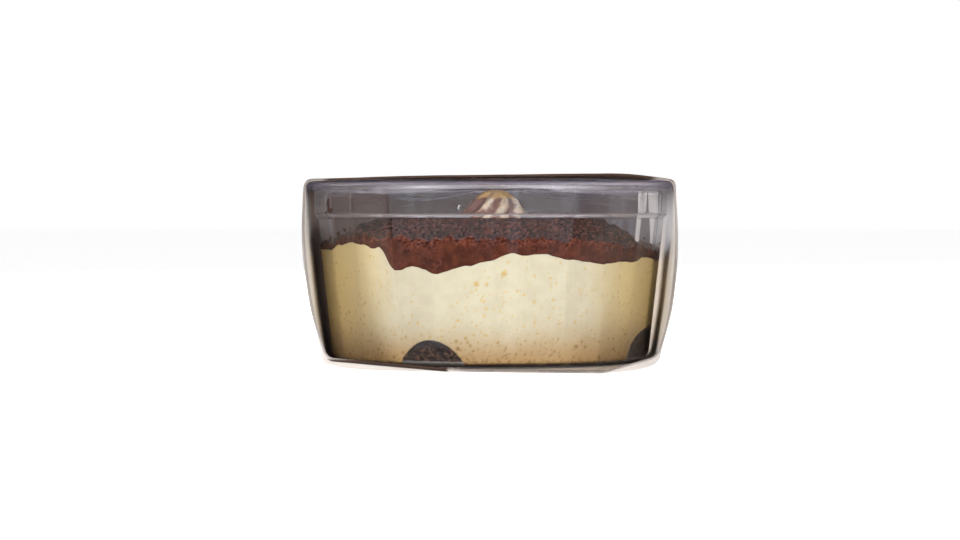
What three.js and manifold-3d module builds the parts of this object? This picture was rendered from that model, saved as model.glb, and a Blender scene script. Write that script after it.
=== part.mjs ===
// A single-portion layered cream dessert in a clear 24-sided pot, closed by a thin peel film and
// held in an open-ended carton sleeve.
// Millimetres, +Z up, +X right, -Y towards the front. The origin is the centre of the sleeve's
// underside. An azimuth is measured round the pot's axis from the front (-Y) towards +X.
import * as THREE from 'three';
import { mergeVertices } from 'three/addons/utils/BufferGeometryUtils.js';
import Module from 'manifold-3d';

const wasm = await Module();
wasm.setup();

// ---------------------------------------------------------------- driving dimensions

const GAP = 0.3; // clearance left between solids that touch on the real object

// Pot, with heights above its own base. Radii are those of the facets' corners.
const FACETS = 24;
const FACET_TURN = 11; // azimuth of one facet corner, degrees
const POT_WALL = 0.75;
const BASE_RADIUS = 39.5; // edge of the flat base
const FOOT_TURNS = [30, 60]; // directions at which the rounding of the foot has a ring, degrees
const FLOOR_CORNER = { radius: 41.3, height: 1.2 }; // inside, half way round the foot
const BODY_FOOT = { radius: 42.45, height: 3 };
const BODY_TOP = { radius: 46.3, height: 37.6 };
const BAND_FOOT = { radius: 47.1, height: 38.5 }; // upper end of the stacking ledge
const BAND_TOP = { radius: 47.3, height: 44.7 };
const RIM = { outer: 47.5, inner: 45.9, bottom: 45.1, top: 45.9 };

// Film lid. Its shares are places between the axis and the rim.
const FILM_THICKNESS = 0.3;
const FILM_OVERHANG = 0.3; // skirt's inner face, out from the rim
const FILM_SAG = { side: 2.9, ends: 0.35 }; // droop between the rim and the swirl, across X and along Y
const FILM_CREASE = { depth: 0.22, count: 9, twist: 3, ends: 0.35 };
const FILM_TOP = 0.02; // share of the radius that the swirl holds level
const FILM_LEAN = { left: 0.62, right: 0.9 }; // powers that move the deepest droop towards the swirl
const FILM_SHARES = [0.97, 0.9, 0.8, 0.68, 0.55, 0.42, 0.3, 0.18];
const SKIRT_DROP = 1.9; // how far the skirt hangs below the film's top at the rim
const SKIRT_WAVES = [{ depth: 0.5, count: 4, phase: -1.92 }, { depth: 0.3, count: 7, phase: -2.18 }];

// Fillings, with heights above the pot's base: each row is [azimuth, height] at the pot's wall.
const CREAM_LINE = [
  [-90, 28.8], [-67, 29.6], [-53, 31.6], [-39, 30.4], [-32, 24.7], [-26, 25.5], [-17.5, 24.0],
  [-7, 25.9], [7, 28.9], [18, 28.7], [41, 26.2], [56, 26.6], [64, 27.4], [80, 26.4], [105, 27.9],
  [125, 28.8], [145, 27.2], [160, 25.1], [180, 26.9], [200, 29.2], [217, 29.6], [232, 27.3],
  [250, 26.6],
];
const COCOA_LINE = [
  [-90, 30.6], [-67, 31.1], [-54, 33.1], [-38, 33.0], [0, 32.8], [30, 32.4], [55, 30.8],
  [75, 29.2], [105, 30.1], [135, 31.6], [180, 31.8], [215, 31.6], [245, 30.6],
];
const CREAM_CROWN = 32.6; // height of the cream under the middle of the cocoa layer
const COCOA_CROWN = 37.8; // height of the cocoa layer's flat top
const COCOA_SHOULDER = 0.6; // where the flat top ends, as a share of the radius
const LUMPS = [
  { height: 0.32, count: 5, twist: 7, phase: 0 },
  { height: 0.22, count: 8, twist: -11, phase: 2 },
];
const CREAM_LUMPS_TURN = 40; // azimuth by which the cream's lumps differ from the cocoa's
const SHARES = [1, 0.95, 0.88, 0.79, 0.69, 0.57, 0.42, 0.25]; // rings between the wall and the axis
const FLOOR = POT_WALL + GAP; // underside of the fillings

// Soaked sponge, lying on the pot's floor and running inwards from the wall. A higher arch power
// gives its section straighter flanks.
const SPONGE_FRONT = { azimuth: -21.2, left: 8.8, right: 9, height: 6.9, length: 34, arch: 1.7 };
const SPONGE_RIGHT = { azimuth: 79, left: 15.5, right: 14, height: 9.3, length: 27, arch: 0.85 };
const SPONGE_TURNS = [0, 25, 50, 72]; // places of the rings round the rounded inner end, degrees
const SPONGE_ROUNDING = 8; // length of the rounded inner end
const SPONGE_REACH = 50; // outer end before it is trimmed to the wall
const SPONGE_FOOT = 2; // depth below the floor before it is trimmed
const SPONGE_STEPS = 12;

// Piped swirl in the middle of the cocoa layer: a cone with rounded flanks and twisted ridges
const SWIRL = {
  x: 1.3, y: -1, radius: 8.2, top: 45.7, flank: 1.7, tip: 0.75, undercut: 0.93,
};
const SWIRL_RIDGES = { count: 8, depth: 0.13, turns: 1.15 };
const SWIRL_LEVELS = [0, 0.1, 0.24, 0.4, 0.56, 0.7, 0.82, 0.92];

// Carton sleeve: an outline in X and Z, swept along Y. It is widest at mid-length, where the rim
// pushes its sides out, and runs almost straight from there to its ends. Each corner has its place
// at mid-length and at both ends. Its bow and its lift are the powers of the curves of X and Z in
// between, and its reach is how far its rounding runs along the two panels.
const BOARD = 0.5;
const SLEEVE_LENGTH = 100;
const POT_SEAT = BOARD + GAP; // height of the pot's base
const SLEEVE_CORNERS = [
  { mid: [40.8, 0], near: [28, 0], far: [28, 0], bow: 4, lift: 6, reach: 0.9, steps: 1 },
  { mid: [43.8, 1.2], near: [41.6, 3.9], far: [41, 3.4], bow: 2, lift: 6, reach: 2.2, steps: 4 },
  { mid: [46.1, 15], near: [45, 14.8], far: [44.8, 14.8], bow: 1.25, lift: 2, reach: 5, steps: 2 },
  { mid: [48, 32], near: [46.8, 31], far: [46.6, 31], bow: 1.25, lift: 2, reach: 7, steps: 2 },
  { mid: [49.4, 48.6], near: [45.7, 48], far: [45.6, 48.2], bow: 1.25, lift: 2, reach: 2.4, steps: 4 },
  { mid: [22, 49.1], near: [34, 49.5], far: [16, 47.9], bow: 2, lift: 6, reach: 5, steps: 3 },
  { mid: [-18, 49.1], near: [-20, 49], far: [-16, 47.9], bow: 2, lift: 6, reach: 12, steps: 3 },
  { mid: [-49.4, 48.6], near: [-46, 47.9], far: [-45.6, 48.2], bow: 1.25, lift: 2, reach: 2.4, steps: 4 },
  { mid: [-48, 32], near: [-46.8, 32], far: [-46.6, 31], bow: 1.25, lift: 2, reach: 7, steps: 2 },
  { mid: [-46.1, 15], near: [-44.4, 15], far: [-44.8, 14.8], bow: 1.25, lift: 2, reach: 5, steps: 2 },
  { mid: [-43.8, 1.2], near: [-40.6, 3.5], far: [-41, 3.4], bow: 2, lift: 6, reach: 2.2, steps: 4 },
  { mid: [-40.8, 0], near: [-4, 0.3], far: [-28, 0], bow: 4, lift: 6, reach: 0.9, steps: 1 },
];
const SLEEVE_STATIONS = 12;

// Facets of the solids
const POT_STEPS = 48;
const FILLING_STEPS = 72;
const FILM_STEPS = 48;
const SWIRL_STEPS = 48;

// ---------------------------------------------------------------- small helpers

const radians = THREE.MathUtils.degToRad;
const mix = THREE.MathUtils.lerp;
const smooth = THREE.MathUtils.smoothstep;

// Places n azimuths, in degrees, evenly round the axis, one of them on a facet corner.
function azimuths(n) {
  return Array.from({ length: n }, (_, i) => FACET_TURN + (360 * i) / n);
}

function polar(azimuth, radius, z) {
  const a = radians(azimuth);
  return new THREE.Vector3(radius * Math.sin(a), -radius * Math.cos(a), z);
}

// Distance from the axis to a flat facet whose corners are at cornerRadius.
function facetRadius(cornerRadius, azimuth) {
  const half = 180 / FACETS;
  const fromCorner = THREE.MathUtils.euclideanModulo(azimuth - FACET_TURN, 2 * half);
  return (cornerRadius * Math.cos(radians(half))) / Math.cos(radians(fromCorner - half));
}

// Value at an azimuth of a closed table of [azimuth, value], with a smooth step between rows.
function around(table, azimuth) {
  const start = table[0][0];
  const a = start + THREE.MathUtils.euclideanModulo(azimuth - start, 360);
  const closed = [...table, [start + 360, table[0][1]]];
  const next = closed.findIndex((row) => row[0] > a);
  const [low, high] = [closed[next - 1], closed[next]];
  return mix(low[1], high[1], smooth(a, low[0], high[0]));
}

// Radius at a height of a wall given as points with radius and height, rising.
function wallRadius(points, height) {
  const next = points.findIndex((p) => p.height >= height);
  if (next === 0) return points[0].radius;
  if (next < 0) return points.at(-1).radius;
  const [low, high] = [points[next - 1], points[next]];
  return mix(low.radius, high.radius, (height - low.height) / (high.height - low.height));
}

// Closed surface through rings of equal length. A ring of one point is a pole, and joined rings
// run back from the last to the first. The first strips, as many as turned says, are split along
// the other diagonal, so that an underside is split like the surface that it lies along.
function skin(rings, { joined = false, turned = 0 } = {}) {
  const positions = [];
  const index = [];
  const starts = [];
  for (const ring of rings) {
    starts.push(positions.length / 3);
    for (const p of ring) positions.push(p.x, p.y, p.z);
  }
  const count = Math.max(...rings.map((ring) => ring.length));
  const at = (r, i) => starts[r] + (rings[r].length === 1 ? 0 : i % count);
  const last = joined ? rings.length : rings.length - 1;
  for (let r = 0; r < last; r += 1) {
    const up = (r + 1) % rings.length;
    for (let i = 0; i < count; i += 1) {
      const quad = [at(r, i), at(r, i + 1), at(up, i + 1), at(up, i)];
      if (r < turned) quad.push(quad.shift());
      const [a, b, c, d] = quad;
      if (new Set([a, b, c]).size === 3) index.push(a, b, c);
      if (new Set([a, c, d]).size === 3) index.push(a, c, d);
    }
  }
  const geometry = new THREE.BufferGeometry();
  geometry.setAttribute('position', new THREE.Float32BufferAttribute(positions, 3));
  geometry.setIndex(index);
  return geometry;
}

function toSolid(geometry) {
  const plain = geometry.clone();
  plain.deleteAttribute('normal');
  plain.deleteAttribute('uv');
  const merged = mergeVertices(plain, 1e-3);
  const vertProperties = new Float32Array(merged.attributes.position.array);
  const triVerts = new Uint32Array(merged.index.array);
  return new wasm.Manifold(new wasm.Mesh({ numProp: 3, vertProperties, triVerts }));
}

function toGeometry(solid) {
  const mesh = solid.getMesh();
  const positions = new Float32Array(mesh.numVert * 3);
  for (let i = 0; i < mesh.numVert; i += 1) {
    for (let k = 0; k < 3; k += 1) positions[3 * i + k] = mesh.vertProperties[i * mesh.numProp + k];
  }
  const geometry = new THREE.BufferGeometry();
  geometry.setAttribute('position', new THREE.BufferAttribute(positions, 3));
  geometry.setIndex(new THREE.BufferAttribute(new Uint32Array(mesh.triVerts), 1));
  return geometry;
}

// ---------------------------------------------------------------- pot

// The outside of the wall, from the foot of the body to the underside of the rim's bead.
const OUTSIDE = [BODY_FOOT, BODY_TOP, BAND_FOOT, BAND_TOP];

// The inside of the wall up to the ledge, which is what the fillings touch.
const INSIDE = [
  { radius: BASE_RADIUS, height: POT_WALL },
  FLOOR_CORNER,
  { radius: BODY_FOOT.radius - POT_WALL, height: BODY_FOOT.height },
  { radius: BODY_TOP.radius - POT_WALL, height: BODY_TOP.height },
];

// One level ring of the pot: facets with a share of true roundness.
function potRing(radius, height, roundness = 0) {
  return azimuths(POT_STEPS).map((a) => polar(a, mix(facetRadius(radius, a), radius, roundness), height));
}

function potGeometry() {
  const corner = BODY_FOOT.radius - BASE_RADIUS;
  const foot = FOOT_TURNS.map((turn) => potRing(
    BASE_RADIUS + corner * Math.sin(radians(turn)),
    BODY_FOOT.height * (1 - Math.cos(radians(turn))),
  ));
  const outside = OUTSIDE.map((p) => potRing(p.radius, p.height));
  const inside = [BAND_TOP, BAND_FOOT].map((p) => potRing(p.radius - POT_WALL, p.height + POT_WALL / 3));
  const lining = [...INSIDE].reverse().map((p) => potRing(p.radius, p.height));
  return skin([
    [new THREE.Vector3(0, 0, 0)],
    potRing(BASE_RADIUS, 0),
    ...foot,
    ...outside,
    potRing(RIM.outer, RIM.bottom, 1),
    potRing(RIM.outer, RIM.top, 1),
    potRing(RIM.inner, RIM.top, 1),
    ...inside,
    ...lining,
    [new THREE.Vector3(0, 0, POT_WALL)],
  ]);
}

// ---------------------------------------------------------------- fillings

// Point of a filling on the line from the axis to the pot's wall, at a share of the way.
function fillingPoint(azimuth, share, height) {
  const radius = facetRadius(wallRadius(INSIDE, height), azimuth) - GAP;
  return polar(azimuth, share * radius, height);
}

function fillingRing(share, heightAt) {
  return azimuths(FILLING_STEPS).map((a) => fillingPoint(a, share, heightAt(a, share)));
}

// Low lumps that fade out towards the wall and the axis.
function lumps(azimuth, share) {
  const fade = Math.sin(Math.PI * share);
  const a = radians(azimuth);
  const wave = ({ height, count, twist, phase }) => height * Math.sin(count * a + twist * share + phase);
  return fade * (wave(LUMPS[0]) + wave(LUMPS[1]));
}

function creamTop(azimuth, share) {
  const wall = around(CREAM_LINE, azimuth);
  return mix(CREAM_CROWN, wall, share ** 4) + lumps(azimuth + CREAM_LUMPS_TURN, share);
}

function cocoaTop(azimuth, share) {
  const wall = around(COCOA_LINE, azimuth);
  const fall = smooth(share, COCOA_SHOULDER, 1);
  return mix(COCOA_CROWN, wall, fall) + lumps(azimuth, share);
}

// Everything that the pot holds below the cream's top.
function creamBlank() {
  const wallHeights = [FLOOR, FLOOR_CORNER.height + GAP, BODY_FOOT.height + GAP];
  return skin([
    [new THREE.Vector3(0, 0, FLOOR)],
    ...wallHeights.map((height) => fillingRing(1, () => height)),
    ...SHARES.map((share) => fillingRing(share, creamTop)),
    [new THREE.Vector3(0, 0, CREAM_CROWN)],
  ]);
}

function cocoaGeometry() {
  const under = (azimuth, share) => creamTop(azimuth, share) + GAP;
  return skin([
    [new THREE.Vector3(0, 0, CREAM_CROWN + GAP)],
    ...[...SHARES].reverse().map((share) => fillingRing(share, under)),
    ...SHARES.map((share) => fillingRing(share, cocoaTop)),
    [new THREE.Vector3(0, 0, COCOA_CROWN)],
  ], { turned: SHARES.length });
}

// A domed length of sponge from beyond the wall inwards, grown all round by a clearance.
function spongeBlank({ azimuth, left, right, height, length, arch }, grow) {
  const out = polar(azimuth, 1, 0);
  const across = polar(azimuth + 90, 1, 0);
  const end = SPONGE_REACH - length - grow;
  const section = (along, scale) => {
    const place = (u, z) => new THREE.Vector3()
      .addScaledVector(out, along)
      .addScaledVector(across, u * scale)
      .setZ(z);
    const dome = Array.from({ length: SPONGE_STEPS + 1 }, (_, i) => {
      const t = (Math.PI * i) / SPONGE_STEPS;
      const half = (t < Math.PI / 2 ? right : left) + grow;
      const rise = (height - FLOOR + grow) * Math.sin(t) ** arch;
      return place(half * Math.cos(t), FLOOR + rise * scale);
    });
    const foot = [-left - grow, right + grow].map((u) => place(u, FLOOR - SPONGE_FOOT));
    return [...dome, ...foot];
  };
  const rings = [section(SPONGE_REACH, 1)];
  for (const turn of SPONGE_TURNS) {
    const t = radians(turn);
    rings.push(section(end + SPONGE_ROUNDING * (1 - Math.sin(t)), Math.cos(t)));
  }
  const start = out.clone().multiplyScalar(SPONGE_REACH).setZ(FLOOR);
  const tip = out.clone().multiplyScalar(end).setZ(FLOOR);
  return skin([[tip], ...rings.reverse(), [start]]);
}

const creamSolid = toSolid(creamBlank());

function spongeGeometry(piece) {
  return toGeometry(creamSolid.intersect(toSolid(spongeBlank(piece, 0))));
}

function creamGeometry() {
  const pockets = [SPONGE_FRONT, SPONGE_RIGHT].map((piece) => toSolid(spongeBlank(piece, GAP)));
  return toGeometry(creamSolid.subtract(pockets[0]).subtract(pockets[1]));
}

// ---------------------------------------------------------------- swirl

function swirlGeometry() {
  const floor = COCOA_CROWN + 2 * LUMPS[0].height + GAP;
  const height = SWIRL.top - floor;
  const ring = (level) => Array.from({ length: SWIRL_STEPS }, (_, i) => {
    const a = (2 * Math.PI * i) / SWIRL_STEPS;
    const body = SWIRL.radius * (1 - level ** SWIRL.flank) ** SWIRL.tip;
    const twist = 2 * Math.PI * SWIRL_RIDGES.turns * level;
    const ridge = 1 + SWIRL_RIDGES.depth * Math.cos(SWIRL_RIDGES.count * a - twist);
    const radius = body * ridge * (level === 0 ? SWIRL.undercut : 1);
    return new THREE.Vector3(
      SWIRL.x + radius * Math.sin(a),
      SWIRL.y - radius * Math.cos(a),
      floor + height * level,
    );
  });
  const pole = (z) => [new THREE.Vector3(SWIRL.x, SWIRL.y, z)];
  return skin([pole(floor), ...SWIRL_LEVELS.map(ring), pole(SWIRL.top)]);
}

// ---------------------------------------------------------------- film lid

const FILM_UNDER = RIM.top + GAP;

// How far the film hangs below its height at the rim. It rests on the rim and on the swirl.
function filmDroop(azimuth, share) {
  const a = radians(azimuth);
  const across = Math.sqrt(Math.sin(a) ** 2 + 0.01) - 0.005;
  const depth = mix(FILM_SAG.ends, FILM_SAG.side, across);
  const lean = mix(FILM_LEAN.left, FILM_LEAN.right, (1 + Math.sin(a)) / 2);
  const hang = Math.sin(Math.PI * smooth(share, FILM_TOP, 1) ** lean);
  const wave = Math.cos(FILM_CREASE.count * a + FILM_CREASE.twist * share);
  const crease = FILM_CREASE.depth * wave * mix(FILM_CREASE.ends, 1, Math.abs(Math.sin(a)));
  return depth * hang + crease * Math.sin(Math.PI * share);
}

function skirtEdge(azimuth) {
  const a = radians(azimuth);
  const wave = ({ depth, count, phase }) => depth * Math.sin(count * a + phase);
  return FILM_UNDER + FILM_THICKNESS - SKIRT_DROP - wave(SKIRT_WAVES[0]) - wave(SKIRT_WAVES[1]);
}

function filmGeometry() {
  const inner = RIM.outer + FILM_OVERHANG;
  const outer = inner + FILM_THICKNESS;
  const ring = (radius, heightAt) => azimuths(FILM_STEPS).map((a) => polar(a, radius, heightAt(a)));
  const sheet = (lift) => FILM_SHARES.map((share) => ring(
    share * RIM.inner,
    (a) => FILM_UNDER + lift - filmDroop(a, share),
  ));
  const flat = (radius, z) => ring(radius, () => z);
  const over = FILM_UNDER + FILM_THICKNESS;
  return skin([
    [new THREE.Vector3(0, 0, FILM_UNDER)],
    ...sheet(0).reverse(),
    flat(RIM.inner, FILM_UNDER),
    flat(inner, FILM_UNDER),
    ring(inner, skirtEdge),
    ring(outer, skirtEdge),
    flat(outer, over),
    flat(RIM.inner, over),
    ...sheet(FILM_THICKNESS),
    [new THREE.Vector3(0, 0, over)],
  ], { turned: FILM_SHARES.length + 3 });
}

// ---------------------------------------------------------------- carton sleeve

// The outer outline at one station, as points in X and Z. at runs from -1 at the near end to 1.
function sleeveOutline(at) {
  const share = Math.abs(at);
  const corners = SLEEVE_CORNERS.map(({ mid, near, far, bow, lift }) => {
    const end = at < 0 ? near : far;
    return new THREE.Vector2(mix(mid[0], end[0], share ** bow), mix(mid[1], end[1], share ** lift));
  });
  return corners.flatMap((corner, i) => {
    const { reach, steps } = SLEEVE_CORNERS[i];
    const before = corners.at(i - 1).clone().sub(corner).setLength(reach).add(corner);
    const after = corners[(i + 1) % corners.length].clone().sub(corner).setLength(reach).add(corner);
    return new THREE.QuadraticBezierCurve(before, corner, after).getPoints(steps);
  });
}

// The same outline moved inwards by the board's thickness.
function inward(outline) {
  return outline.map((point, i) => {
    const along = outline[(i + 1) % outline.length].clone().sub(outline.at(i - 1)).normalize();
    return new THREE.Vector2(point.x - along.y * BOARD, point.y + along.x * BOARD);
  });
}

function sleeveGeometry() {
  const stations = Array.from({ length: SLEEVE_STATIONS + 1 }, (_, i) => (
    Math.sin(radians(mix(-90, 90, i / SLEEVE_STATIONS)))
  ));
  const ring = (outline, at) => outline.map((p) => (
    new THREE.Vector3(p.x, (at * SLEEVE_LENGTH) / 2, p.y)
  ));
  const outside = stations.map((at) => ring(sleeveOutline(at), at));
  const inside = stations.map((at) => ring(inward(sleeveOutline(at)), at));
  return skin([...inside, ...outside.reverse()], { joined: true, turned: SLEEVE_STATIONS });
}

// ---------------------------------------------------------------- scene graph

function piece(name, geometry, look) {
  const mesh = new THREE.Mesh(geometry, new THREE.MeshStandardMaterial(look));
  mesh.name = name;
  return mesh;
}

const SPONGE_LOOK = { color: 0x3f302c, roughness: 0.85, metalness: 0 };

const pot = new THREE.Group();
pot.position.z = POT_SEAT;
pot.add(
  piece('pot', potGeometry(), {
    color: 0xe9ebee, roughness: 0.08, metalness: 0, transparent: true, opacity: 0.3,
  }),
  piece('film_lid', filmGeometry(), {
    color: 0xd9d6de, roughness: 0.15, metalness: 0, transparent: true, opacity: 0.3,
  }),
  piece('cream', creamGeometry(), { color: 0xe9dec5, roughness: 0.55, metalness: 0 }),
  piece('cocoa_layer', cocoaGeometry(), { color: 0x5d382f, roughness: 0.8, metalness: 0 }),
  piece('sponge_front', spongeGeometry(SPONGE_FRONT), SPONGE_LOOK),
  piece('sponge_right', spongeGeometry(SPONGE_RIGHT), SPONGE_LOOK),
  piece('cream_swirl', swirlGeometry(), { color: 0xd9c3a8, roughness: 0.6, metalness: 0 }),
);

const part = new THREE.Group();
part.add(
  piece('sleeve', sleeveGeometry(), { color: 0xc4bcb6, roughness: 0.75, metalness: 0 }),
  pot,
);

export default part;
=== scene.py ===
# %% [markdown]
# # A portion of tiramisu in its clear pot
#
# The object is a clear plastic pot with 24 facets. It holds cream, a cocoa layer, soaked sponge
# and a piped swirl, a thin film closes it, and a carton sleeve goes round it. The shapes were
# settled in CAD, and this lesson dresses them: every cell makes one piece or one finish.
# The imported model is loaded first, because each piece takes its place from it.

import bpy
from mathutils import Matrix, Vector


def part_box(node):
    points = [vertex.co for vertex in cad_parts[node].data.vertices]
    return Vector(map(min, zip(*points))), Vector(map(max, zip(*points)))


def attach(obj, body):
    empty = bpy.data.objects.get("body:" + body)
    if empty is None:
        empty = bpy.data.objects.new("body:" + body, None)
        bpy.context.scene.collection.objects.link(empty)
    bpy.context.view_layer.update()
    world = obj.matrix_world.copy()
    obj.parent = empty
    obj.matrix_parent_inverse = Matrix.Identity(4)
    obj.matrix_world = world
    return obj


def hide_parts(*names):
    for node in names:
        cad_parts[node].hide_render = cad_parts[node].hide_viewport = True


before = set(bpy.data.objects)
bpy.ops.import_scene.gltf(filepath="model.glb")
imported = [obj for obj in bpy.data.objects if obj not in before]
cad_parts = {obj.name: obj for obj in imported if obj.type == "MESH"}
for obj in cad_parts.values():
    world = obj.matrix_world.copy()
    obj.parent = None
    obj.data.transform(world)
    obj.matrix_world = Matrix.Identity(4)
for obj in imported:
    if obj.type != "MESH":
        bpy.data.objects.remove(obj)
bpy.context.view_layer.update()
print("CAD nodes:", ", ".join(sorted(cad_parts)))

# %% [markdown]
# ## Directions and numbers
#
# Food in a round pot is easiest to describe by an azimuth round the pot's axis, a distance from
# it and a height above the pot's base. Millimetres are easier to read than metres, so all sizes
# below are in millimetres, and only the last step of a mesh multiplies them by MM.

# %% Directions round the pot
import math

import bpy
import numpy as np
from mathutils import Vector, noise

MM = 0.001
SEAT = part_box("pot")[0].z / MM  # the pot's base stands this high above the table
FACETS = 24
FACET_TURN = 11.0  # azimuth of one facet corner, degrees
CORNER_CUT = 0.0007  # share of the radius that rounding takes off a facet corner
CORNER_BLEND = 0.0012


def polar(azimuth, radius, height):
    """Points round the axis. An azimuth runs from the front, in degrees, towards +X."""
    a = np.radians(azimuth)
    places = np.broadcast_arrays(radius * np.sin(a), -radius * np.cos(a), height + SEAT)
    return np.stack(places, axis=-1)


def smooth(value, low, high):
    """0 below low, 1 above high and an S-shaped step in between."""
    t = np.clip((np.asarray(value, float) - low) / (high - low), 0, 1)
    return t * t * (3 - 2 * t)


def mix(low, high, share):
    return low + (high - low) * share


def around(table, azimuth):
    """Value of a closed table of (azimuth, value) rows, with a smooth step from row to row."""
    rows = np.array([*table, (table[0][0] + 360, table[0][1])])
    a = rows[0, 0] + np.mod(np.asarray(azimuth, float) - rows[0, 0], 360)
    row = np.clip(np.searchsorted(rows[:, 0], a, side="right"), 1, len(rows) - 1)
    low, high = rows[row - 1], rows[row]
    return mix(low[..., 1], high[..., 1], smooth((a - low[..., 0]) / (high[..., 0] - low[..., 0]), 0, 1))


def facet_share(azimuth):
    """Distance to the flat facets, as a share of that to their softened corners."""
    half = 180 / FACETS
    off = np.mod(np.asarray(azimuth, float) - FACET_TURN, 2 * half) - half
    flat = math.cos(math.radians(half)) / np.cos(np.radians(off))
    top = 1 - CORNER_CUT
    near = np.maximum(CORNER_BLEND - np.abs(flat - top), 0) / CORNER_BLEND
    return np.minimum(flat, top) - near ** 3 * CORNER_BLEND / 6


def columns_round(count):
    """Azimuths of evenly spaced columns round the pot, which start at a facet corner."""
    return FACET_TURN + np.arange(count) * 360 / count


print(f"the pot stands {SEAT:.2f} mm above the table")

# %% [markdown]
# ## From numbers to a mesh
#
# Most of the pieces are skins over a stack of closed rings: the food, the film and the sleeve.
# One helper makes the faces, another closes both ends, and the last makes the object and stores
# per-point shares, such as how wet the cocoa is, as attributes. A material can read an attribute
# wherever the surface goes, which a picture or a box projection couldn't do on such bent shapes.

# %% Meshes from rings
scene = bpy.context.scene


def ring_faces(rows, count, joined=False):
    """Faces between rings of points that are numbered ring by ring."""
    here = np.arange(count)
    ahead = (here + 1) % count
    faces = []
    for row in range(rows if joined else rows - 1):
        low, high = row * count, (row + 1) % rows * count
        faces += np.stack([low + here, low + ahead, high + ahead, high + here], axis=1).tolist()
    return faces


def closed_skin(rings, first_pole, last_pole):
    """Points and faces of a skin over a stack of rings, closed by a point at each end."""
    rows, count = len(rings), len(rings[0])
    end, last = rows * count, (rows - 1) * count
    ahead = [*range(1, count), 0]
    faces = ring_faces(rows, count)
    faces += [[end, b, a] for a, b in enumerate(ahead)]
    faces += [[end + 1, last + a, last + b] for a, b in enumerate(ahead)]
    return np.concatenate([*rings, [first_pole], [last_pole]]), faces


def over_skin(rings, start, values, before=0.0):
    """A share that is known from ring number start on, as one value for each point of the skin."""
    count = len(rings[0])
    whole = np.zeros(len(rings) * count + 2)
    whole[:start * count] = before
    whole[start * count:start * count + np.size(values)] = np.ravel(values)
    return whole


def as_object(name, points, faces, material, **shares):
    """A smooth mesh object from points in millimetres, with a float attribute for each share."""
    mesh = bpy.data.meshes.new(name)
    mesh.from_pydata((np.asarray(points) * MM).tolist(), [], faces)
    for label, values in shares.items():
        attribute = mesh.attributes.new(label, "FLOAT", "POINT")
        attribute.data.foreach_set("value", np.asarray(values, np.float32).ravel())
    mesh.materials.append(material)
    mesh.shade_smooth()
    mesh.validate()
    return in_scene(name, mesh)


def in_scene(name, mesh):
    piece = bpy.data.objects.new(name, mesh)
    scene.collection.objects.link(piece)
    print(f"{name}: {len(mesh.vertices)} points, {len(mesh.polygons)} faces")
    return piece


def rough(points, size, seed=0.0):
    """Smooth noise from -1 to 1 at each point, with features about that many mm wide."""
    points = np.asarray(points, float)
    flat = points.reshape(-1, 3) / size + seed
    return np.array([noise.noise(Vector(p)) for p in flat]).reshape(points.shape[:-1])


print("a tube of 2 rings of 4 points has", len(ring_faces(2, 4)), "faces")

# %% [markdown]
# ## A short way to write node trees
#
# Materials, the world and Geometry Nodes are all trees of nodes. The first class below gives the
# few nodes that they share a short name each. The second adds what a finish on food or board is
# built from: noise of a real size, a soft threshold, a bump. It reads Object coordinates, so that
# a pattern has its true size in millimetres and stays in place when the piece is exported.
# Colours are written as they look on a screen, from 0 to 255.

# %% Nodes
PRINCIPLED = "ShaderNodeBsdfPrincipled"
WHITE = (1.0, 1.0, 1.0, 1.0)


def screen(red, green, blue):
    """A colour seen on a screen, as the linear colour that a shader takes."""
    linear = [((c / 255 + 0.055) / 1.055) ** 2.4 if c > 10 else c / 255 / 12.92 for c in (red, green, blue)]
    return (*linear, 1.0)


class Nodes:
    """A tree under construction. All calls but add() give a node's result, ready to be used."""

    def __init__(self, tree):
        self.tree = tree

    def add(self, kind, inputs=(), **settings):
        """A node with its settings. An input is a plain value or another node's output."""
        made = self.tree.nodes.new(kind)
        for label, value in settings.items():
            setattr(made, label, value)
        for key, value in dict(inputs).items():
            if isinstance(value, bpy.types.NodeSocket):
                self.tree.links.new(value, made.inputs[key])
            else:
                made.inputs[key].default_value = value
        return made

    def out(self, kind, inputs=(), **settings):
        return self.add(kind, inputs, **settings).outputs[0]

    def math(self, operation, *values):
        return self.out("ShaderNodeMath", dict(enumerate(values)), operation=operation)

    def vector(self, operation, *values, **named):
        inputs = {**dict(enumerate(values)), **named}
        return self.out("ShaderNodeVectorMath", inputs, operation=operation)

    def axes(self, place):
        """The X, Y and Z of a place."""
        return self.add("ShaderNodeSeparateXYZ", {0: place}).outputs

    def step(self, value, low, high, start=0.0, end=1.0):
        """An S-shaped step from start to end while the value goes from low to high."""
        inputs = {"Value": value, "From Min": low, "From Max": high, "To Min": start, "To Max": end}
        return self.out("ShaderNodeMapRange", inputs, interpolation_type="SMOOTHSTEP")

    def mix(self, share, low, high):
        """A mix of two colours."""
        return self.add("ShaderNodeMix", {0: share, 6: low, 7: high}, data_type="RGBA").outputs[2]


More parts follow.
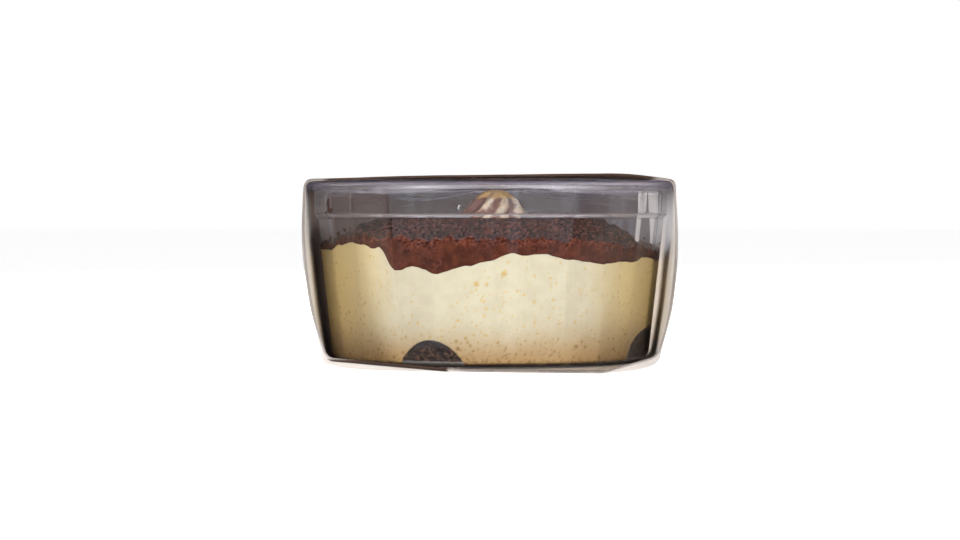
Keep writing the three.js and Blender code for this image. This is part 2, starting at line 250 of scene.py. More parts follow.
class Finish(Nodes):
    """A material under construction."""

    def __init__(self, name):
        self.material = bpy.data.materials.new(name)
        self.material.use_nodes = True
        super().__init__(self.material.node_tree)
        self.tree.nodes.clear()
        self.place = self.add("ShaderNodeTexCoord").outputs["Object"]

    def share(self, label):
        """A share that was stored with the mesh."""
        return self.add("ShaderNodeAttribute", attribute_name=label).outputs["Fac"]

    def stretched(self, x, y, z, turn=(0.0, 0.0, 0.0)):
        """Object coordinates turned, then drawn out along each axis by a factor."""
        inputs = {"Vector": self.place, "Rotation": turn, "Scale": (x, y, z)}
        return self.out("ShaderNodeMapping", inputs, vector_type="TEXTURE")

    def noise(self, size, detail=3.0, distortion=0.0, place=None):
        inputs = {"Vector": place or self.place, "Scale": 1 / (size * MM), "Detail": detail}
        return self.out("ShaderNodeTexNoise", {**inputs, "Distortion": distortion})

    def cells(self, size):
        return self.out("ShaderNodeTexVoronoi", {"Vector": self.place, "Scale": 1 / (size * MM)})

    def past(self, place, start, soft):
        """1 beyond a place in millimetres and 0 before it. A negative softness turns the two round."""
        return self.step(place, (start - soft) * MM, (start + soft) * MM)

    def blotch(self, size, detail, low, high, dark, light):
        """Two colours that a noise of that size takes turns with."""
        return self.mix(self.step(self.noise(size, detail), low, high), dark, light)

    def bump(self, height, depth, strength=1.0):
        return self.out("ShaderNodeBump", {"Height": height, "Distance": depth * MM, "Strength": strength})

    def shade(self, inputs):
        """Ends the material with the Principled shader."""
        self.add("ShaderNodeOutputMaterial", {"Surface": self.out(PRINCIPLED, inputs)})
        print(f"finish {self.material.name}: {len(self.tree.nodes)} nodes")
        return self.material


print("nodes can be written short")

# %% [markdown]
# ## Clear plastic and film
#
# The pot is thin clear plastic. Glass in a renderer bends light, and lamps then can't find what
# lies behind it, so the food would look dark. The usual cure is a Transparent shader for rays
# that carry light and the true glass for rays that carry sight. The stacking ledge is stretched
# plastic, which goes a little milky; its milky band is also a painted highlight, for the bright
# line that the ledge shows edge-on. The rim where the film is sealed on it goes milky too.
#
# The film is too thin to bend anything: it is a pale veil with gloss on it, so Alpha does better
# there, and rises where the film is seen edge-on. Along the fold it rises further, which paints a
# pale highlight line there.

# %% Clear finishes
# the milky ledge band is stretched plastic and also a painted highlight for the ledge's bright line
LEDGE = {"from": SEAT + 37.95, "to": SEAT + 38.75, "milk": 0.13}
SEAL = {"from": SEAT + 45.0, "milk": 0.08, "roughness": 0.3}  # the film is sealed on the rim


def pot_finish():
    look = Finish("pot_plastic")
    height = look.axes(look.place)["Z"]
    sealed = look.past(height, SEAL["from"], 0.1)
    scuffed = look.step(look.noise(2.5, 4.0), 0.5, 0.8, 0.004, 0.02)
    clear = screen(248, 249, 251)
    glass = look.out(PRINCIPLED, {
        "Base Color": clear, "IOR": 1.5, "Transmission Weight": 1.0,
        "Roughness": look.math("MULTIPLY_ADD", sealed, SEAL["roughness"], scuffed),
        "Normal": look.bump(look.noise(9, 0.0), 0.012),
    })
    # milky diffuse plastic: at the ledge partly a painted highlight, at the seal the sealed rim
    milk = look.out(PRINCIPLED, {"Base Color": screen(206, 198, 200), "Roughness": 0.35})
    above, below = look.past(height, LEDGE["from"], 0.15), look.past(height, LEDGE["to"], -0.15)
    milky = look.math("MULTIPLY", look.math("MULTIPLY", above, below), LEDGE["milk"])
    milky = look.math("MULTIPLY_ADD", sealed, SEAL["milk"], milky)
    plastic = look.out("ShaderNodeMixShader", {0: milky, 1: glass, 2: milk})
    open_air = look.out("ShaderNodeBsdfTransparent", {"Color": clear})
    path = look.add("ShaderNodeLightPath").outputs
    lit = look.math("MAXIMUM", path["Is Shadow Ray"], path["Is Diffuse Ray"])
    both = look.out("ShaderNodeMixShader", {0: lit, 1: plastic, 2: open_air})
    look.add("ShaderNodeOutputMaterial", {"Surface": both})
    return look.material


def film_finish():
    look = Finish("peel_film")
    edge_on = look.add("ShaderNodeLayerWeight", {"Blend": 0.35}).outputs["Facing"]
    veil = look.step(look.noise(7, 3.0, 0.5), 0.35, 0.7, 0.04, 0.14)
    veil = look.math("MULTIPLY_ADD", look.math("POWER", edge_on, 2.5), 0.13, veil)
    veil = look.math("MULTIPLY_ADD", look.math("POWER", edge_on, 16.0), 0.35, veil)
    veil = look.math("MULTIPLY_ADD", look.share("crease"), 0.2, veil)
    # painted highlight: the veil thickens along the fold into a pale line
    veil = look.math("MULTIPLY_ADD", look.share("fold_highlight"), 0.75, veil)
    return look.shade({
        "Base Color": screen(206, 200, 216), "Roughness": 0.3, "IOR": 1.5, "Alpha": veil,
        "Normal": look.bump(look.noise(5, 3.0), 0.08),
    })


POT_PLASTIC = pot_finish()
FILM_PLASTIC = film_finish()
print("clear finishes:", POT_PLASTIC.name, FILM_PLASTIC.name)

# %% [markdown]
# ## The pot
#
# The pot follows a rule: one profile, swept round the axis and flattened on 24 sides up to the
# round rim. That is work for Geometry Nodes. The tree joins short lines into the profile, rounds
# its corners with Fillet Curve and sweeps it round a small circle. Set Position then pulls each
# point in to its facet, so the number of facets or any size can be changed in one place.

# %% Sizes of the pot
WALL = 0.75
BASE_RADIUS = 39.5
FLOOR_CORNER = (41.3, 1.2)
BODY_FOOT = (42.45, 3.0)
BODY_TOP = (46.3, 37.6)
BAND_FOOT = (47.1, 38.5)
BAND_TOP = (47.3, 44.7)
RIM = {"outer": 47.5, "inner": 45.9, "bottom": 45.1, "top": 45.9}
AXIS_RING = 1.0  # radius of the circle that the profile is swept round

POT_SIZES = {
    "Facets": FACETS,
    "Steps per facet": 12,
    "Turn": math.radians(FACET_TURN),
    "Foot radius": 42.1 * MM,
    "Foot rounding": 3.0 * MM,
    "Edge rounding": 0.28 * MM,
    "Body top radius": BODY_TOP[0] * MM,
    "Body top height": BODY_TOP[1] * MM,
    "Band foot radius": BAND_FOOT[0] * MM,
    "Band foot height": BAND_FOOT[1] * MM,
    "Band top radius": BAND_TOP[0] * MM,
    "Band top height": BAND_TOP[1] * MM,
    "Rim radius": RIM["outer"] * MM,
    "Rim inner radius": RIM["inner"] * MM,
    "Rim bottom height": RIM["bottom"] * MM,
    "Rim top height": RIM["top"] * MM,
    "Wall": WALL * MM,
    "Seat": SEAT * MM,
    "Corner cut": CORNER_CUT,
    "Corner blend": CORNER_BLEND,
}
print(f"the pot is {2 * RIM['outer']} mm across and {RIM['top']} mm high")

# %% [markdown]
# A recipe is a tree that turns sizes into a mesh. Each size is a named input of the tree, and all
# recipes end alike: instances become real faces, get smooth shading and one material. Cooking
# runs the tree once and keeps its result as a plain mesh, which any exporter understands.

# %% Recipes in Geometry Nodes
class Recipe(Nodes):
    """A Geometry Nodes tree with a named input for each size, and for a mesh where it takes one."""

    def __init__(self, name, sizes, takes_mesh=False):
        super().__init__(bpy.data.node_groups.new(name, "GeometryNodeTree"))
        self.sizes = sizes
        sockets = {"Geometry": "NodeSocketGeometry"} if takes_mesh else {}
        for label, value in sizes.items():
            sockets[label] = "NodeSocketInt" if isinstance(value, int) else "NodeSocketFloat"
        for label, kind in sockets.items():
            self.tree.interface.new_socket(label, in_out="INPUT", socket_type=kind)
        self.tree.interface.new_socket("Geometry", in_out="OUTPUT", socket_type="NodeSocketGeometry")
        self.size = self.tree.nodes.new("NodeGroupInput").outputs

    def chance(self, low, high):
        """A random vector for each point."""
        inputs = {0: low, 1: high, "Seed": self.size["Seed"]}
        return self.out("FunctionNodeRandomValue", inputs, data_type="FLOAT_VECTOR")

    def serve(self, geometry, material):
        """The end of every tree here: plain mesh, smooth shading, material."""
        real = self.out("GeometryNodeRealizeInstances", {"Geometry": geometry})
        soft = self.out("GeometryNodeSetShadeSmooth", {"Geometry": real})
        painted = self.out("GeometryNodeSetMaterial", {"Geometry": soft, "Material": material})
        self.add("NodeGroupOutput", {0: painted})
        return self

    def cook(self, name, base=None):
        """Runs the tree on a base object or on nothing, and returns a plain mesh object."""
        start = base.data if base else bpy.data.meshes.new(name + "_base")
        seed = bpy.data.objects.new(name + "_base", start)
        scene.collection.objects.link(seed)
        modifier = seed.modifiers.new(name, "NODES")
        modifier.node_group = self.tree
        for item in self.tree.interface.items_tree:
            if item.in_out == "INPUT" and item.name in self.sizes:
                modifier[item.identifier] = self.sizes[item.name]
        mesh = bpy.data.meshes.new_from_object(seed.evaluated_get(bpy.context.evaluated_depsgraph_get()))
        mesh.name = name
        bpy.data.objects.remove(seed)
        return in_scene(name, mesh)


pot = Recipe("faceted_pot", POT_SIZES)
print("the pot's tree takes", len(pot.sizes), "sizes")

# %% [markdown]
# Long flat panels need care. Shading is smooth, so a corner of the profile would tilt the light
# far into the panel beside it, and clear plastic would act as a lens there. A support point near
# each end of a panel keeps the panel flat and leaves the bend to the corner.

# %% The pot's profile
LONG_PANELS = {  # profile line: how far in from its two ends a support point lies, in mm
    1: (3.4, 0.6), 3: (0.5, 0.35), 8: (0.4, 0.5), 10: (0.6, 3.2), 11: (3.2, 2.0), 0: (2.0, 3.4),
}
BAND_STEP = 1 / 3  # inside, the band's ends lie higher by this share of the wall


def walled(label, share):
    """A size of the pot with a share of the wall's thickness added."""
    return pot.math("ADD", pot.size[label], pot.math("MULTIPLY", pot.size["Wall"], share))


def pot_profile():
    """The corners from the middle of the base up the outside, over the rim and down the inside."""
    size = pot.size
    places = [
        (0.0, 0.0),
        (size["Foot radius"], 0.0),
        (size["Body top radius"], size["Body top height"]),
        (size["Band foot radius"], size["Band foot height"]),
        (size["Band top radius"], size["Band top height"]),
        (size["Rim radius"], size["Rim bottom height"]),
        (size["Rim radius"], size["Rim top height"]),
        (size["Rim inner radius"], size["Rim top height"]),
        (walled("Band top radius", -1), walled("Band top height", BAND_STEP)),
        (walled("Band foot radius", -1), walled("Band foot height", BAND_STEP)),
        (walled("Body top radius", -1), size["Body top height"]),
        (walled("Foot radius", -0.9), size["Wall"]),
        (0.0, size["Wall"]),
    ]
    corners = []
    for radius, height in places:  # the sweep takes X as the way out from its circle and -Y as up
        out = pot.math("SUBTRACT", radius, AXIS_RING * MM)
        down = pot.math("MULTIPLY", height, -1.0)
        corners.append(pot.out("ShaderNodeCombineXYZ", {"X": out, "Y": down}))
    return corners


def beside(point, other, distance):
    """A support point on the way from one corner to the other."""
    way = pot.vector("NORMALIZE", pot.vector("SUBTRACT", other, point))
    return pot.vector("ADD", point, pot.vector("SCALE", way, Scale=distance * MM))


def supported(profile):
    chain = []
    for index, (start, end) in enumerate(zip(profile, profile[1:])):
        chain.append(start)
        if index in LONG_PANELS:
            near_start, near_end = LONG_PANELS[index]
            chain += [beside(start, end, near_start), beside(end, start, near_end)]
    return [*chain, profile[-1]]


pot_chain = supported(pot_profile())
print("the profile has", len(pot_chain), "points before its corners are rounded")

# %% [markdown]
# A thermoformed pot has a wide rounding at its foot and tight ones elsewhere. The rounded profile
# goes round the axis in fine steps, twelve to a facet. A facet is a flat cut across the circle, so
# each point moves in by the cosine of its angle to the middle of its facet, and the rim stays round.

# %% Sweep, facets and the finished pot
FOOT_ZONE = 1.5  # corners of the profile lower than this take the foot's rounding
CORNER_STEPS = 6


def swept_profile(chain):
    joined = pot.add("GeometryNodeJoinGeometry")
    for start, end in reversed(list(zip(chain, chain[1:]))):
        line = pot.out("GeometryNodeCurvePrimitiveLine", {"Start": start, "End": end})
        pot.tree.links.new(line, joined.inputs[0])
    wire = pot.out("GeometryNodeCurveToMesh", {"Curve": joined.outputs[0]})
    wire = pot.out("GeometryNodeMergeByDistance", {"Geometry": wire, "Distance": 1e-6})
    place = pot.axes(pot.out("GeometryNodeInputPosition"))
    near_base = pot.math("GREATER_THAN", place["Y"], -FOOT_ZONE * MM)
    extra = pot.math("SUBTRACT", pot.size["Foot rounding"], pot.size["Edge rounding"])
    filleted = pot.out("GeometryNodeFilletCurve", {
        "Curve": pot.out("GeometryNodeMeshToCurve", {"Mesh": wire}), "Count": CORNER_STEPS,
        "Radius": pot.math("MULTIPLY_ADD", near_base, extra, pot.size["Edge rounding"]), "Limit Radius": True,
    }, mode="POLY")
    steps = pot.math("MULTIPLY", pot.size["Facets"], pot.size["Steps per facet"])
    circle = pot.out("GeometryNodeCurvePrimitiveCircle", {"Resolution": steps, "Radius": AXIS_RING * MM})
    return pot.out("GeometryNodeCurveToMesh", {"Curve": circle, "Profile Curve": filleted})


def faceted(swept):
    """Pulls every point in to its facet, less and less from the band's top up to the round rim."""
    place = pot.axes(pot.out("GeometryNodeInputPosition"))
    pitch = pot.math("DIVIDE", 2 * math.pi, pot.size["Facets"])
    half = pot.math("DIVIDE", pitch, 2.0)
    azimuth = pot.math("ARCTAN2", place["X"], pot.math("MULTIPLY", place["Y"], -1.0))
    off = pot.math("WRAP", pot.math("SUBTRACT", azimuth, pot.size["Turn"]), pitch, 0.0)
    off = pot.math("SUBTRACT", off, half)
    flat = pot.math("DIVIDE", pot.math("COSINE", half), pot.math("COSINE", off))
    limit = pot.math("SUBTRACT", 1.0, pot.size["Corner cut"])
    facet = pot.math("SMOOTH_MIN", flat, limit, pot.size["Corner blend"])
    band_top = walled("Band top height", BAND_STEP)
    share = pot.step(place["Z"], band_top, pot.size["Rim bottom height"], facet, 1.0)
    shaped = pot.out("ShaderNodeCombineXYZ", {
        "X": pot.math("MULTIPLY", place["X"], share), "Y": pot.math("MULTIPLY", place["Y"], share),
        "Z": pot.math("ADD", place["Z"], pot.size["Seat"]),
    })
    moved = pot.out("GeometryNodeSetPosition", {"Geometry": swept, "Position": shaped})
    closed = pot.out("GeometryNodeMergeByDistance", {"Geometry": moved, "Distance": 2e-6})
    return pot.out("GeometryNodeFlipFaces", {"Mesh": closed})


pot_piece = pot.serve(faceted(swept_profile(pot_chain)), POT_PLASTIC).cook("clear_pot")

# %% [markdown]
# ## Where the food touches the wall
#
# Cream in a clear pot is pressed against the plastic: no air shows between them. So the outer
# skin of every filling follows the inside of the wall and reaches a little way into it. A light
# ray then meets the cream inside the plastic, just as it does on the real pot.

# %% The inside of the wall
REACH = 0.12  # how far the cream goes into the wall
OVERLAP = 0.07  # how much further the cocoa and the sponge go
FLOOR = WALL - 0.08
INSIDE = np.array([
    (BASE_RADIUS, WALL), FLOOR_CORNER, (BODY_FOOT[0] - WALL, BODY_FOOT[1]), (BODY_TOP[0] - WALL, BODY_TOP[1]),
])


def wall_radius(azimuth, height):
    """Distance from the axis to the inside of the wall."""
    return np.interp(height, INSIDE[:, 1], INSIDE[:, 0]) * facet_share(azimuth)


CREAM_LINE = [  # azimuth and height of the cream's upper edge at the wall
    (-90, 28.8), (-78, 29.6), (-67, 29.5), (-59, 30.8), (-53, 31.6), (-46, 31.0), (-42, 30.1),
    (-39, 30.5), (-32.5, 24.6), (-26.3, 25.6), (-17.6, 23.9), (-6.9, 25.8), (-1.5, 26.9), (7.1, 28.9),
    (12, 28.4), (18, 28.7), (28, 27.2), (41, 26.1), (48, 26.6), (56, 26.5), (62, 27.6), (67, 27.3),
    (80, 26.4), (105, 27.9), (125, 28.8), (145, 27.2), (160, 25.1), (180, 26.9), (200, 29.2),
    (217, 29.6), (232, 27.3), (250, 26.6),
]
COCOA_LINE = [  # and of the wet cocoa's
    (-90, 30.6), (-67, 31.1), (-54, 33.1), (-38, 33.0), (0, 32.8), (30, 32.4), (55, 30.8),
    (75, 29.2), (105, 30.1), (135, 31.6), (180, 31.8), (215, 31.6), (245, 30.6),
]
CREAM_CROWN = 32.6
COCOA_CROWN = 37.8
COCOA_SHOULDER = 0.6
LUMPS = [(0.32, 5, 7, 0), (0.22, 8, -11, 2)]  # height, count round the pot, twist and phase
CREAM_LUMPS_TURN = 40


def lumps(azimuth, share):
    a = np.radians(azimuth)
    waves = sum(height * np.sin(count * a + twist * share + phase) for height, count, twist, phase in LUMPS)
    return np.sin(np.pi * share) * waves


def ragged(azimuth, size, depth, seed):
    """A small wander of a line round the pot, with steps about that many degrees long."""
    a = np.radians(azimuth)
    circle = np.stack([np.cos(a), np.sin(a), np.zeros_like(a)], axis=-1) * math.degrees(1)
    return depth * (rough(circle, size, seed) + 0.5 * rough(circle, size / 2.3, seed + 5))


def cream_line(azimuth):
    return around(CREAM_LINE, azimuth) + ragged(azimuth, 3.2, 0.28, 3.1)


def cocoa_line(azimuth):
    return around(COCOA_LINE, azimuth) + ragged(azimuth, 2.2, 1.2, 8.4)


def cream_top(azimuth, share):
    crown = mix(CREAM_CROWN, cream_line(azimuth), share ** 4)
    return crown + lumps(azimuth + CREAM_LUMPS_TURN, share)


def cocoa_top(azimuth, share):
    fall = smooth(share, COCOA_SHOULDER, 1)
    return mix(COCOA_CROWN, cocoa_line(azimuth), fall) + lumps(azimuth, share)


print(f"cream line from {min(h for _, h in CREAM_LINE)} to {max(h for _, h in CREAM_LINE)} mm")

# %% [markdown]
# ## Soaked sponge
#
# Two pieces of dark, coffee-soaked sponge lie at the bottom and touch the wall. What shows of
# each is a domed patch pressed on the plastic, open-pored and uneven. A lump of clay pushed
# against a window would do the same, so the patch is made first, on the wall's own surface, and
# the rest of the piece is lofted inwards behind it.

# %% Sponge finish
def sponge_finish():
    look = Finish("soaked_sponge")
    grain = look.noise(0.9, 6.0)
    crumb = look.mix(look.step(grain, 0.42, 0.66), screen(30, 22, 20), screen(96, 72, 58))
    syrup = look.blotch(2.6, 2.0, 0.4, 0.7, screen(48, 43, 45), screen(70, 64, 66))
    colour = look.mix(look.share("soaked"), crumb, syrup)
    colour = look.mix(look.step(look.noise(1.9, 1.0), 0.66, 0.74), colour, screen(122, 70, 40))
    colour = look.mix(look.share("foot"), colour, screen(146, 140, 136))
    height = look.math("SUBTRACT", grain, look.step(look.cells(0.8), 0.3, 0.0))
    return look.shade({
        "Base Color": colour, "Roughness": look.step(grain, 0.3, 0.7, 0.45, 0.8),
        "Normal": look.bump(height, 0.25, 0.8), "Specular IOR Level": 0.2,
    })


SPONGE = sponge_finish()

# %% [markdown]
# The patch at the wall has the outline of a dome on a flat foot. Rings of that outline are laid on
# the wall from its middle outwards, with pores pushed into them. Further rings run straight back
# into the pot and close in a rounded end.

# %% Sponge pieces
SPONGES = {
    "sponge_front": dict(azimuth=-21.2, left=8.8, right=9, height=6.9, length=34, arch=1.7),
    "sponge_right": dict(azimuth=79, left=15.5, right=14, height=9.3, length=27, arch=0.85),
}
SPONGE_ROUNDING = 8  # of the hidden inner end
SPONGE_REACH = 50  # the length counts inwards from this distance to the axis
SPONGE_SIDES = 96
PATCH_RINGS = 34
PATCH = {"middle": 0.35, "pores": 0.22, "round_edge": 0.35}
BODY_RINGS = 14
CRUMB_RELIEF = 0.16
END_TURNS = [20, 40, 58, 74, 86]
SOAKED_FROM, SOAKED_TO = 0.62, 0.86  # shares of the height


def sponge_outline(left, right, height, arch):
    """Half-dome and flat foot, as (across, height) points that run from the left foot to the right."""
    turn = np.linspace(np.pi, 0, SPONGE_SIDES)
    half = np.where(turn < np.pi / 2, right, left)
    dome = np.stack([half * np.cos(turn), FLOOR + (height - FLOOR) * np.sin(turn) ** arch], axis=1)
    foot = np.linspace(dome[-1], dome[0], SPONGE_SIDES // 3 + 2)[1:-1]
    return np.concatenate([dome, foot])


def on_wall(azimuth, across, height, reach):
    """How far out along an azimuth's line the wall lies, for points that far to its side."""
    along = np.full_like(across, BODY_FOOT[0])
    for _ in range(4):  # each round comes closer to the facet that the point is really on
        own = azimuth + np.degrees(np.arctan2(across, along))
        along = np.sqrt((wall_radius(own, height) + reach) ** 2 - across ** 2)
    return along


def sponge_piece(name, azimuth, length, arch, left, right, height):
    outline = sponge_outline(left, right, height, arch)
    centre = np.array([0.0, FLOOR + PATCH["middle"] * (height - FLOOR)])
    out, aside = (np.array([math.sin(t), -math.cos(t), 0]) for t in np.radians([azimuth, azimuth + 90]))

    def place(flat, along):
        lift = np.array([0, 0, SEAT])
        return np.outer(along, out) + np.outer(flat[:, 0], aside) + np.outer(flat[:, 1], [0, 0, 1]) + lift

    rings = []
    for share in np.linspace(0.02, 1, PATCH_RINGS):
        flat = centre + (outline - centre) * share
        skin = place(flat, on_wall(azimuth, flat[:, 0], flat[:, 1], REACH + OVERLAP))
        pores = np.clip(rough(skin, 1.1, 4.0) + 0.7 * rough(skin, 0.5, 9.0), -1, 0.2) - 0.2
        inset = PATCH["pores"] * pores - PATCH["round_edge"] * smooth(share, 0.93, 1)
        rings.append(skin + np.outer(inset * smooth(share, 0, 0.1), out))
    end = SPONGE_REACH - length + SPONGE_ROUNDING
    edge = on_wall(azimuth, outline[:, 0], outline[:, 1], 0)
    for share in np.linspace(0.06, 1, BODY_RINGS):
        ring = place(outline, mix(edge - 0.4, np.full_like(edge, end), share))
        rings.append(ring + CRUMB_RELIEF * rough(ring, 1.6, 2.0)[:, None] * np.array([0.5, 0.5, 1]))
    for turn in np.radians(END_TURNS):
        flat = (outline - [0, FLOOR]) * math.cos(turn) + [0, FLOOR]
        rings.append(place(flat, np.full(len(flat), end - SPONGE_ROUNDING * math.sin(turn))))
    points, faces = closed_skin(rings, rings[0].mean(axis=0), rings[-1].mean(axis=0))
    lift = points[:, 2] - SEAT
    soaked = smooth(lift + 0.6 * rough(points, 2.2, 7.0), SOAKED_FROM * height, SOAKED_TO * height)
    foot = smooth(lift + 0.2 * rough(points, 1.5, 3.0), 1.75, 1.45) * smooth(lift, 0.8, 1.0)
    return as_object(name + "_crumb", points, faces, SPONGE, soaked=soaked, foot=0.7 * foot)


sponge_pieces = {name: sponge_piece(name, **shape) for name, shape in SPONGES.items()}

# %% [markdown]
# ## Cream
#
# Whipped mascarpone cream is pale yellow, full of fine air bubbles, and stained tan by the
# coffee at the bottom. The bubbles that touch the plastic are real hollows, so the larger ones
# are dents in the mesh, and only the finest are drawn by the material, as dots of painted shade.
# Dents need a close mesh: its points are about 0.4 mm apart on the wall, and far apart where the
# cocoa covers them.

# %% Cream finish
def cream_finish():
    look = Finish("mascarpone_cream")
    coffee = look.share("coffee")
    colour = look.blotch(3.0, 3.0, 0.3, 0.7, screen(202, 192, 165), screen(209, 200, 174))
    # painted light and shade: towards its sides, which lie in the sleeve's shade, the cream is painted
    # yellower and brighter
    colour = look.mix(look.share("side"), colour, screen(252, 226, 160))
    colour = look.mix(coffee, colour, screen(184, 150, 102))
    # painted shade: the finest bubbles are small darker dots with a slight bump, stronger where coffee stains
    # the cream
    fine = look.step(look.cells(0.85), 0.2, 0.08)
    fine = look.math("MULTIPLY", fine, look.step(look.noise(2.5, 1.0), 0.42, 0.6))
    fine = look.math("MULTIPLY", fine, look.step(coffee, 0.0, 0.6, 0.35, 0.8))
    colour = look.mix(fine, colour, screen(176, 142, 92))
    # painted shade in the bubble dents, browner where coffee stains the cream
    hollow_shade = look.mix(coffee, screen(206, 172, 96), screen(128, 88, 48))
    colour = look.mix(look.share("bubble"), colour, hollow_shade)
    # painted shadow: a dark line along the base of the cream, under the pot's rounded foot
    colour = look.mix(look.share("syrup"), colour, screen(52, 38, 26))
    height = look.math("SUBTRACT", look.noise(0.8, 4.0), fine)
    return look.shade({
        "Base Color": colour, "Roughness": 0.45, "Normal": look.bump(height, 0.05, 0.6),
        "Subsurface Weight": 0.25, "Subsurface Radius": (1.0, 0.7, 0.4), "Subsurface Scale": 1.5 * MM,
        "Specular IOR Level": 0.1,
    })


CREAM = cream_finish()

# %% [markdown]
# For each point of the wall one function finds how deep it lies in a bubble. The same measure
# paints shade into the dent, as a hollow gathers shade. Small bubbles are drawn from a fixed seed,
# so that every run makes the same cream.

# %% Bubbles at the wall
BIG_BUBBLES = [  # azimuth, height, radius
    (4.6, 23.8, 0.72), (-4.6, 21.2, 0.68), (-1.1, 21.1, 0.42), (11.2, 18.4, 0.36), (9.0, 19.4, 0.38),
    (14.9, 16.7, 0.42), (-2.1, 16.8, 0.34), (21.5, 17.2, 0.33), (-11.6, 6.7, 0.5), (-11.2, 4.8, 0.55),
    (-8.4, 7.5, 0.45), (-7.6, 6.5, 0.4), (-6.8, 5.6, 0.4), (-5.8, 4.3, 0.36), (2.8, 6.4, 0.4),
    (31.5, 5.2, 0.5), (33.6, 6.4, 0.4), (35.2, 5.0, 0.36), (24.0, 7.2, 0.38), (-27.5, 13.0, 0.34),
]
BUBBLE_COUNT = 4200
BUBBLE_DEPTH = 0.45  # as a share of the bubble's radius
WALL_ARC = {"bubbles": 43.5, "sponge": 43.0, "coffee": 44.0}  # radii that turn degrees into mm


def bubble_list():
    """The large bubbles as listed, and many small ones, most of them near the bottom."""
    draw = np.random.default_rng(5)
    azimuth = draw.uniform(-180, 180, BUBBLE_COUNT)
    height = 1.2 + 27 * draw.uniform(0, 1, BUBBLE_COUNT) ** 2.3
    radius = 0.12 + 0.22 * draw.uniform(0, 1, BUBBLE_COUNT) ** 3
    return [*BIG_BUBBLES, *zip(azimuth, height, radius)]


def dent(azimuth, height):
    """How far each point of the cream's wall lies inside the dents, and how much painted shade it gets."""
    depth, tint = np.zeros_like(height), np.zeros_like(height)
    for own_azimuth, own_height, radius in bubble_list():
        rows = np.abs(height[:, 0] - own_height) < 3 * radius + 1.5
        turn = np.mod(azimuth[rows] - own_azimuth + 180, 360) - 180
        gap = np.hypot(np.radians(turn) * WALL_ARC["bubbles"], height[rows] - own_height) / radius
        depth[rows] = np.maximum(depth[rows], radius * BUBBLE_DEPTH * np.sqrt(np.clip(1 - gap ** 2, 0, 1)))
        # painted shade of the dent, strongest in its middle
        tint[rows] = np.maximum(tint[rows], smooth(gap, 1.25, 0.6) * min(0.9, 0.5 + radius))
    return depth, tint


print(len(bubble_list()), "bubbles lie at the wall")

# %% [markdown]
# Where a sponge piece touches the plastic the cream has to step back, or both would share one
# surface and flicker. Coffee runs out of the sponge, so the cream is darkest near the base, most
# of all on the right. A dark line of painted shadow lies on the base itself, under the pot's foot.

# %% Cream piece
CREAM_COLUMNS = 720
CREAM_ROWS = 78
POCKET_DEPTH = 1.2
COFFEE_HEIGHT = 13.5
# heights of the painted shadow line along the base
FOOT_SHADOW_HEIGHTS = {"clear": FLOOR + 0.7, "full": FLOOR + 0.3}


def coffee_share(azimuth, height):
    side = 1 + 0.35 * smooth(azimuth, 5, 60) * smooth(azimuth, 170, 90)
    side = side - 0.6 * smooth(azimuth, -10, -40) * smooth(azimuth, -170, -90)
    wander = rough(polar(azimuth, WALL_ARC["coffee"], height), 9, 1.0)
    return smooth(height + 1.5 * wander, COFFEE_HEIGHT * side, 0.0) ** 1.2


def sponge_pocket(azimuth, height):
    """1 where a sponge piece is at the wall, 0 elsewhere."""
    pocket = np.zeros_like(height)
    for shape in SPONGES.values():
        turn = np.radians(azimuth - shape["azimuth"])
        across = WALL_ARC["sponge"] * np.sin(turn)
        half = np.where(across > 0, shape["right"], shape["left"])
        rise = np.sqrt(np.clip(1 - (across / half) ** 2, 0, 1)) ** shape["arch"]
        roof = FLOOR + (shape["height"] - FLOOR) * rise
        pocket = np.maximum(pocket, (np.cos(turn) > 0.5) * smooth(roof - height, -0.1, 0.35))
    return pocket


def cream_piece():
    azimuth = columns_round(CREAM_COLUMNS)
    line = cream_line(azimuth)
    height = FLOOR + (line - FLOOR) * np.linspace(0, 1, CREAM_ROWS)[:, None]
    turns = np.broadcast_to(azimuth, height.shape)
    depth, tint = dent(turns, height)
    radius = wall_radius(azimuth, height) + REACH - depth - POCKET_DEPTH * sponge_pocket(turns, height)
    wall = polar(turns, radius, height)
    under = [polar(azimuth, s * radius[0], FLOOR) for s in (0.3, 0.6, 0.85, 0.96)]
    edge = wall_radius(azimuth, line) + REACH
    over = [polar(azimuth, s * edge, cream_top(azimuth, s)) for s in (0.985, 0.94, 0.85, 0.6, 0.3)]
    rings, first = [*under, *wall, *over], len(under)
    points, faces = closed_skin(rings, (0, 0, FLOOR + SEAT), (0, 0, CREAM_CROWN + SEAT))
    # painted shadow along the base, with a slight wander
    foot_shadow = smooth(height + 0.15 * rough(wall, 3.0, 6.0), FOOT_SHADOW_HEIGHTS["clear"], FOOT_SHADOW_HEIGHTS["full"])
    return as_object(
        "cream_body", points, faces, CREAM,
        # painted shade of the bubble dents
        bubble=over_skin(rings, first, tint),
        coffee=over_skin(rings, first, coffee_share(turns, height), before=1.0),
        # painted shadow line along the base
        syrup=over_skin(rings, first, foot_shadow, before=1.0),
        # painted tone of the cream's sides, which lie in the sleeve's shade
        side=smooth(np.abs(points[:, 0]), 22, 40),
    )


cream_body = cream_piece()

# %% [markdown]
# ## Cocoa layer
#
# The cocoa layer is wet where it touches the plastic: smooth and reddish brown, with a wavy
# lower edge. Above the contact it falls back from the wall and rises in a dry, dusted mound. One
# mesh holds both, with an attribute for wetness. Its top is made rough in the mesh itself, and
# loose grains are scattered on it afterwards.

